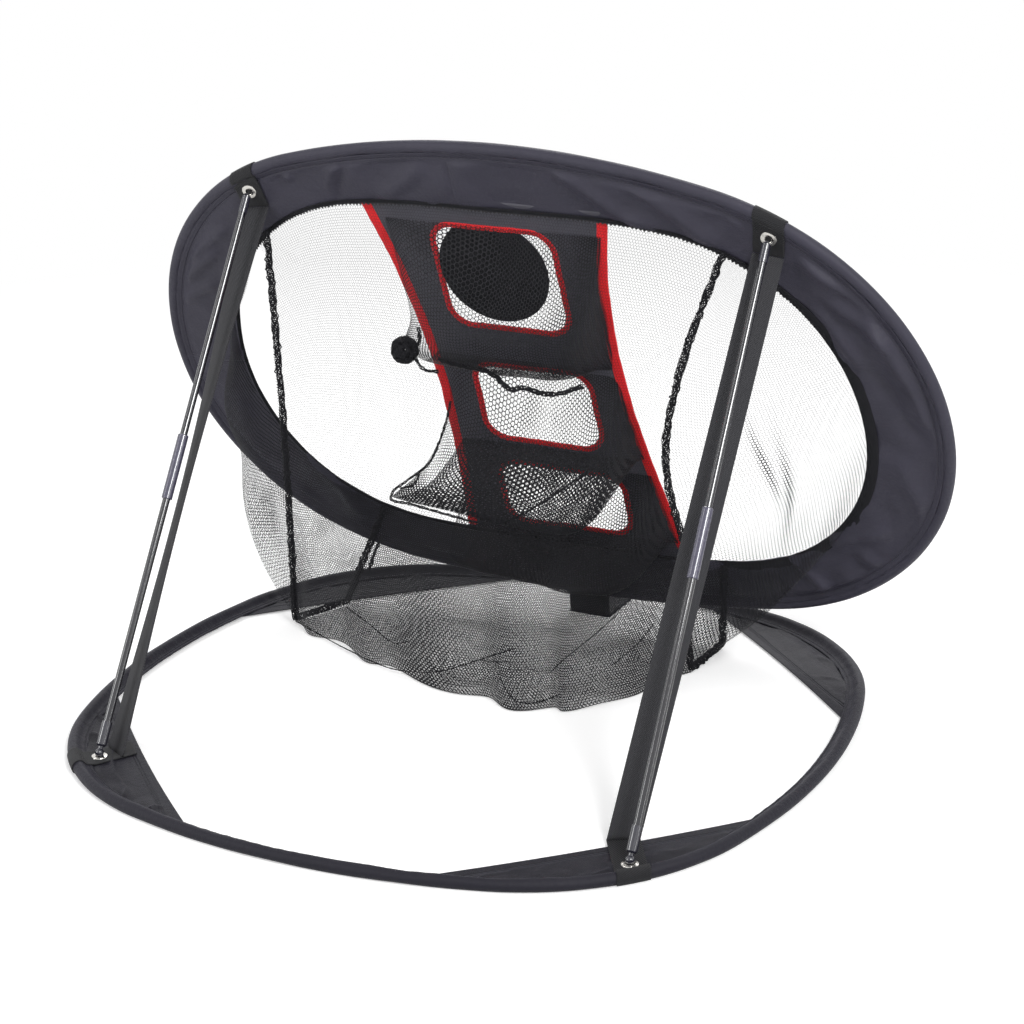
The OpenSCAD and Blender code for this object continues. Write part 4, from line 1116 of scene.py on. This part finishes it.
# Each pocket net in millimetres: half width, room for the disc to swing into, how dense its right side is,
# its folds as (back, up), and the route of its loose right side
pockets = {"top": {"half": 78, "area": 0.028, "room": 25, "dense": 1,
                   "path": [(-63, 388), (-59, 332), (-54, 288), (-58, 271), (-84, 262), (-119, 264)],
                   "side": [(104, -63, 388), (86, -53, 345), (76, -49, 312), (88, -60, 284), (82, -84, 266),
                            (88, -119, 264)]},
           "middle": {"half": 74, "area": 0.032, "room": 0, "dense": 0,
                      "path": [(-121, 259), (-104, 214), (-88, 168), (-86, 140), (-98, 127), (-124, 142),
                               (-157, 178)],
                      "side": [(84, -121, 259), (66, -97, 229), (72, -92, 200), (92, -87, 166),
                               (118, -86, 141), (96, -112, 148), (84, -157, 178)]},
           "bottom": {"half": 78, "area": 0.027, "room": 0, "dense": 1,
                      "path": [(-163, 163), (-146, 128), (-128, 92), (-130, 68), (-146, 58), (-172, 70),
                               (-193, 95)],
                      "side": [(84, -163, 163), (82, -146, 128), (84, -128, 96), (86, -130, 76),
                               (84, -146, 68), (86, -172, 76), (88, -193, 95)]}}


# A pocket net: a bag sewn along the left of the panel, hanging back behind its window, loose on the right
def pocketPiece(word, spec, seed):
    path = [Vector((0, y, z)) * mm for y, z in spec["path"]]
    side = [Vector(p) * mm for p in spec["side"]]

    def place(u, w):
        hang = sin(pi * w)
        deep = 1 - max(0.0, 1 - 2 * u) ** 5
        flat = mix(path[0], path[-1], w)
        v = (flat - hoopFoot).dot(upHoop)
        spot = mix(flat, curved(path, w), deep)
        spot.x = mix(panelMiddle(v) - panelHalf(v) + 4 * mm, spec["half"] * mm, u)
        spot += Vector((3 * ripple(u * 5, w * 4, seed + 5), 4 * ripple(u * 6, w * 3, seed),
                        5 * ripple(u * 4, w, seed + 2) - 3 * w)) * mm * hang * deep
        spot.y += spec["room"] * mm * hump(w, 0.32, 0.17) * hump(u, 0.5, 0.42)
        return mix(spot, curved(side, w), smooth((u - 0.5) / 0.5))

    def slack(u, w):
        edge = 0.3 * hump(u, 1, 0.06) * smooth((w - 0.15) / 0.1)
        back = smooth((w - 0.5) / 0.12)
        back = 0.22 + 0.46 * max(back, hump(u, 0, 0.14), hump(u, 0.96, 0.1) * spec["dense"])
        return back + 0.35 * hump(w, 0.56, 0.08) + 0.2 * ripple(u * 9, w * 8, seed) + edge

    piece = gridPiece("pocketNet_" + word + "_mesh", 70, 90, place, None, slack=slack,
                      cloth=lambda u, w: (u * 150 * mm + w * 95 * mm, w * 165 * mm - u * 75 * mm))
    settle(piece, "target_frame", netting, ["pocket_net_" + word])
    return piece


pocketNets = [pocketPiece(word, spec, 3.0 * i) for i, (word, spec) in enumerate(pockets.items())]

# Rolled hems and drawn threads of the nets: points in millimetres, radius, and strands
hems = {"topPocketHem": ([(56, -57, 277), (36, -55, 274), (14, -54, 273), (2, -54, 268), (-10, -53, 260),
                          (-22, -54, 262), (-37, -55, 259), (-51, -56, 260), (-72, -58, 268)], 1.9, 3),
        "topPocketTail": ([(76, -62, 300), (74, -60, 290), (78, -58, 278), (70, -58, 266),
                           (56, -57, 266)], 1.4, 2),
        "middlePocketSide": ([(66, -97, 229), (69, -94, 212), (75, -90, 192), (84, -88, 174), (103, -86, 158),
                              (116, -85, 147), (118, -86, 138), (100, -88, 136), (68, -90, 131),
                              (40, -90, 128), (14, -90, 132), (-18, -90, 152), (-62, -92, 186)], 1.1, 2),
        "middlePocketHook": ([(92, -88, 166), (96, -86, 156), (103, -86, 152), (110, -86, 150)], 1.0, 2),
        "lowCord": ([(140, -107, 97), (144, -103, 86), (147, -101, 77), (150, -99, 66)], 1.4, 2),
        "floorFoldRight": ([(230, -106, 3), (166, -71, 3), (110, -46, 3), (80, -40, 5), (53, -46, 8),
                            (32, -74, 11), (15, -106, 12)], 0.55, 2),
        "floorFoldLong": ([(205, -152, 4), (165, -122, 5), (126, -92, 5), (112, -98, 6)], 0.5, 2),
        "floorFoldMiddle": ([(-31, -222, 9), (-32, -170, 9), (-30, -118, 8), (-28, -88, 5)], 0.5, 2),
        "floorFoldLeft": ([(-70, -212, 10), (-74, -170, 9), (-71, -122, 6)], 0.5, 2),
        "floorFoldBack": ([(2, -52, 8), (-14, -34, 4), (-31, -22, 3), (-46, -30, 4), (-57, -44, 7)], 0.5, 2)}
for i, (word, (points, radius, strands)) in enumerate(hems.items()):
    points = [Vector(p) * mm for p in points]
    ropes += knitRope(word, lambda t, points=points: curved(points, t), 24 * len(points), radius * mm,
                      11.0 + i, strands, radius * 0.45 * mm)


# The gathered corner of the top pocket, tied in a loose knot: a ball of turns
knot = {"centre": Vector((88, -60, 280)) * mm, "radius": 9.5 * mm, "turns": 9, "tilts": 2.7}


def knotPoint(t):
    a, b = 2 * pi * knot["turns"] * t, 2 * pi * knot["tilts"] * t
    ball = Vector((cos(a) * cos(b), sin(b), sin(a) * cos(b)))
    return knot["centre"] + ball * knot["radius"]


ropes += knitRope("cornerKnot", knotPoint, 420, 2.1 * mm, 31.0, 3, 0.7 * mm)
print("pockets made")

# Each net, pocket net and rope gets a mesh of its own
for piece in [catchNet, goreRight, goreLeft, *pocketNets, *ropes]:
    tuple(onHoop(0, 0, -3 * mm))
    0.3 if piece in pocketNets else 0.07
    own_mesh(piece)

# Plain soft light on the object, and two narrow lamps that draw the bright lines on the poles
lamps = {"keyLamp": ((-1.7, 1.3, 1.9), (0.7, 0.7), 44), "fillLamp": ((1.9, 2.0, 1.0), (1.2, 1.0), 22),
         "frontLamp": ((0.6, -2.0, 1.8), (1.6, 1.0), 22), "leftStrip": ((-1.8, 0.4, 1.0), (0.1, 1.6), 6),
         "rightStrip": ((1.3, 1.1, 1.5), (0.1, 1.6), 5)}
studio = {"world": 0.42, "floorGlow": 0.34, "shadowReach": 0.6, "whiteFrom": 1.6}


def areaLamp(name, place, size, power):
    data = bpy.data.lights.new(name, "AREA")
    data.shape, data.size, data.size_y, data.energy = "RECTANGLE", size[0], size[1], power
    lamp = bpy.data.objects.new(name, data)
    bpy.context.collection.objects.link(lamp)
    lamp.location = place
    lamp.rotation_euler = (Vector((0, 0, 0.2)) - Vector(place)).to_track_quat("-Z", "Y").to_euler()


for name, lamp in lamps.items():
    areaLamp(name, *lamp)


# White where the camera or a shiny surface sees it, and dimmer as a light
def makeWorld():
    world = bpy.data.worlds.new("studio")
    bpy.context.scene.world = world
    world.use_nodes = True
    tree = world.node_tree
    paths = tree.nodes.new("ShaderNodeLightPath")
    seen = paths.outputs["Is Camera Ray"]
    for ray in ("Is Glossy Ray", "Is Transmission Ray"):
        either = tree.nodes.new("ShaderNodeMath")
        either.operation = "MAXIMUM"
        tree.links.new(seen, either.inputs[0])
        tree.links.new(paths.outputs[ray], either.inputs[1])
        seen = either.outputs[0]
    level = tree.nodes.new("ShaderNodeMapRange")
    level.inputs["To Min"].default_value = studio["world"]
    level.inputs["To Max"].default_value = 1.0
    tree.links.new(seen, level.inputs["Value"])
    back = tree.nodes["Background"]
    back.inputs["Color"].default_value = (1, 1, 1, 1)
    tree.links.new(level.outputs["Result"], back.inputs["Strength"])


# A pale floor with a little light of its own for the camera, fading to plain white away from the object
def makeFloor():
    bm = bmesh.new()
    bmesh.ops.create_grid(bm, x_segments=1, y_segments=1, size=6)
    floor = finishPiece("studioFloor", bm)
    s = Shade("floorPaint")
    s.put(Base_Color=(0.86, 0.86, 0.86, 1), Roughness=0.8)
    plain = Value(s, s.surface.outputs[0])
    glow, white = [s.add("ShaderNodeEmission", None, {"Color": (1, 1, 1, 1), "Strength": strength})
                   for strength in (studio["floorGlow"], 1.0)]
    lit = s.add("ShaderNodeAddShader", None, {0: plain, 1: glow})
    far = s.add("ShaderNodeVectorMath", {"operation": "LENGTH"}, {0: s.place()}, "Value")
    far = s.add("ShaderNodeMapRange", None, {"Value": far, "From Min": studio["shadowReach"],
                                             "From Max": studio["whiteFrom"]})
    lit = s.add("ShaderNodeMixShader", None, {0: far, 1: lit, 2: white})
    seen = s.add("ShaderNodeLightPath", None, None, "Is Camera Ray")
    s.join(s.add("ShaderNodeMixShader", None, {0: seen, 1: plain, 2: lit}),
           s.tree.nodes["Material Output"].inputs["Surface"])
    floor.data.materials.append(s.material)


makeWorld()
makeFloor()
bpy.context.scene.view_settings.view_transform = "Standard"
print("stage made")
